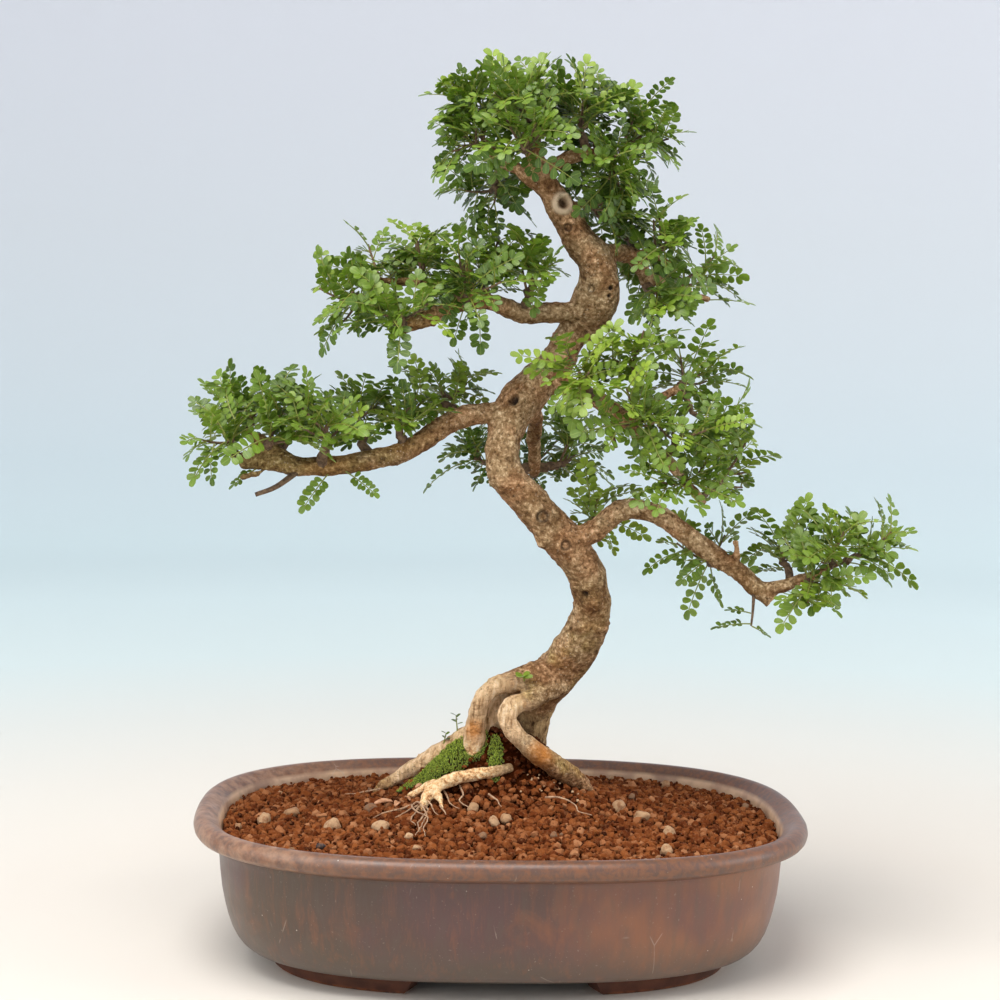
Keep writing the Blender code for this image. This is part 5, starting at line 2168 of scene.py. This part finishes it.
    def build(self) -> None:
        """Make all twigs and sprays."""
        material = LeafFinish().material()
        paths = [smooth_path(stations, 3) for stations in self.marked_twigs]
        seed = self.seed
        for label, pad in self.pads.items():
            for number, place in enumerate(pad.tips, 1):
                seed += 1
                paths += self.grow("%s_%02d" % (label, number), place, pad, material, seed)
        shell = Shell()
        for path in paths:
            shell.tube(path, 7)
        finish = PlainFinish("twig_bark", (0.185, 0.11, 0.058), (0.066, 0.037, 0.019), 2.2, 0.8, 0.5)
        add_piece(shell.make("twigs", finish.material()), Slot.BARK)


@dataclass
class Studio:
    """Pale floor and backdrop, soft lights and the camera.

    Sizes are in metres, apart from the camera's place. Each lamp has its name, place, target, width and
    height, watts and colour.
    """

    camera_place: Place = (-46.4, -1064, 315)
    yaw: float = 0.041
    pitch: float = 0.085
    roll: float = 0.018
    focal_share: float = 2.1765
    sensor: float = 36
    disc_radius: float = 0.8
    floor_radius: float = 1.7
    wall_radius: float = 2.6
    wall_height: float = 3.2
    bend_height: float = 0.9
    bend_steps: int = 12
    segments: int = 96
    room_colour: Colour = (0.98, 0.98, 1)
    room_light: float = 0.46
    lamps: Tuple[Tuple[str, Place, Place, Range, float, Colour], ...] = (
        ("top", (-0.3, -0.65, 1.5), (0, 0, 0.2), (1, 0.9), 24, (1, 0.985, 0.96)),
        ("left", (-1.35, -0.95, 0.85), (0, 0, 0.22), (1.5, 1.4), 14.4, (1, 0.98, 0.95)),
        ("right", (1.5, -0.45, 0.65), (0, 0, 0.2), (0.8, 1), 10, (1, 0.98, 0.95)),
    )

    def place(self, name: str, data: bpy.types.ID) -> Object:
        """Put a mesh, lamp or camera into the scene.

        Args:
            name: its name.
            data: what the object shows.

        Returns:
            The object.
        """
        obj = bpy.data.objects.new(name, data)
        bpy.context.scene.collection.objects.link(obj)
        return obj

    def sweep(self) -> None:
        """Make the floor and the wall round it as one bowl."""
        profile = [(self.disc_radius, 0), (self.floor_radius, 0)]
        for k in range(1, self.bend_steps + 1):
            angle = radians(90 * k / self.bend_steps)
            radius = self.floor_radius + (self.wall_radius - self.floor_radius) * sin(angle)
            profile.append((radius, self.bend_height * (1 - cos(angle))))
        profile.append((self.wall_radius, self.wall_height))
        count = self.segments
        vertices = [(0, 0, 0)]
        vertices += [(radius * cos(a), radius * sin(a), z) for radius, z in profile for a in turns(count)]
        faces: List[Face] = [(0, 1 + k, 1 + (k + 1) % count) for k in range(count)]
        for low in range(1, 1 + (len(profile) - 1) * count, count):
            for k in range(count):
                j = (k + 1) % count
                faces.append((low + k, low + count + k, low + count + j, low + j))
        mesh = bpy.data.meshes.new("sweep")
        mesh.from_pydata(vertices, [], faces)
        mesh.shade_smooth()
        mesh.materials.append(SweepFinish().material())
        self.place("sweep", mesh)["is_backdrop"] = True

    def light(self) -> None:
        """Add the soft rectangular lamps and the even light of the room."""
        for name, place, target, size, power, colour in self.lamps:
            lamp = bpy.data.lights.new(name, "AREA")
            lamp.shape = "RECTANGLE"
            lamp.size, lamp.size_y = size
            lamp.energy = power
            lamp.color = colour
            obj = self.place(name, lamp)
            obj.location = place
            obj.rotation_euler = (Vector(target) - Vector(place)).to_track_quat("-Z", "Y").to_euler()
        world = bpy.data.worlds.new("room")
        world.use_nodes = True
        background = world.node_tree.nodes["Background"].inputs
        background["Color"].default_value = (*self.room_colour, 1)
        background["Strength"].default_value = self.room_light
        bpy.context.scene.world = world
        bpy.context.scene.view_settings.view_transform = "Standard"

    def camera(self) -> None:
        """Make the camera."""
        data = bpy.data.cameras.new("camera")
        data.sensor_width = self.sensor
        data.lens = self.sensor * self.focal_share
        data.clip_start = 0.05
        data.clip_end = 20
        obj = self.place("camera", data)
        obj.location = row_place(self.camera_place)
        aim = Vector((sin(self.yaw) * cos(self.pitch), cos(self.yaw) * cos(self.pitch), -sin(self.pitch)))
        obj.rotation_mode = "QUATERNION"
        obj.rotation_quaternion = aim.to_track_quat("-Z", "Y") @ Quaternion((0, 0, 1), self.roll)
        bpy.context.scene.camera = obj

    def build(self) -> None:
        """Make the whole studio."""
        self.sweep()
        self.light()
        self.camera()


def write_sizes() -> None:
    """Work out the CAD box and the box of the finished looks, without keeping them.
    """
    boxes = {"cad": CAD_BOX, "visual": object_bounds()}
    {key: [list(corner) for corner in box] for key, box in boxes.items()}


def main() -> None:
    """Build every sub-assembly in order and report each piece."""
    logging.basicConfig(level=logging.INFO, format="%(name)s %(message)s")
    pot = Pot()
    pot.build()
    DrainScreens().build()
    bark = BarkFinish().material()
    wood = Wood()
    wood.build(bark)
    soil = SoilBed(pot, wood)
    soil.build()
    RootDressing(soil).build()
    Foliage(wood).build()
    Studio().build()
    write_sizes()


if __name__ == "__main__":
    main()
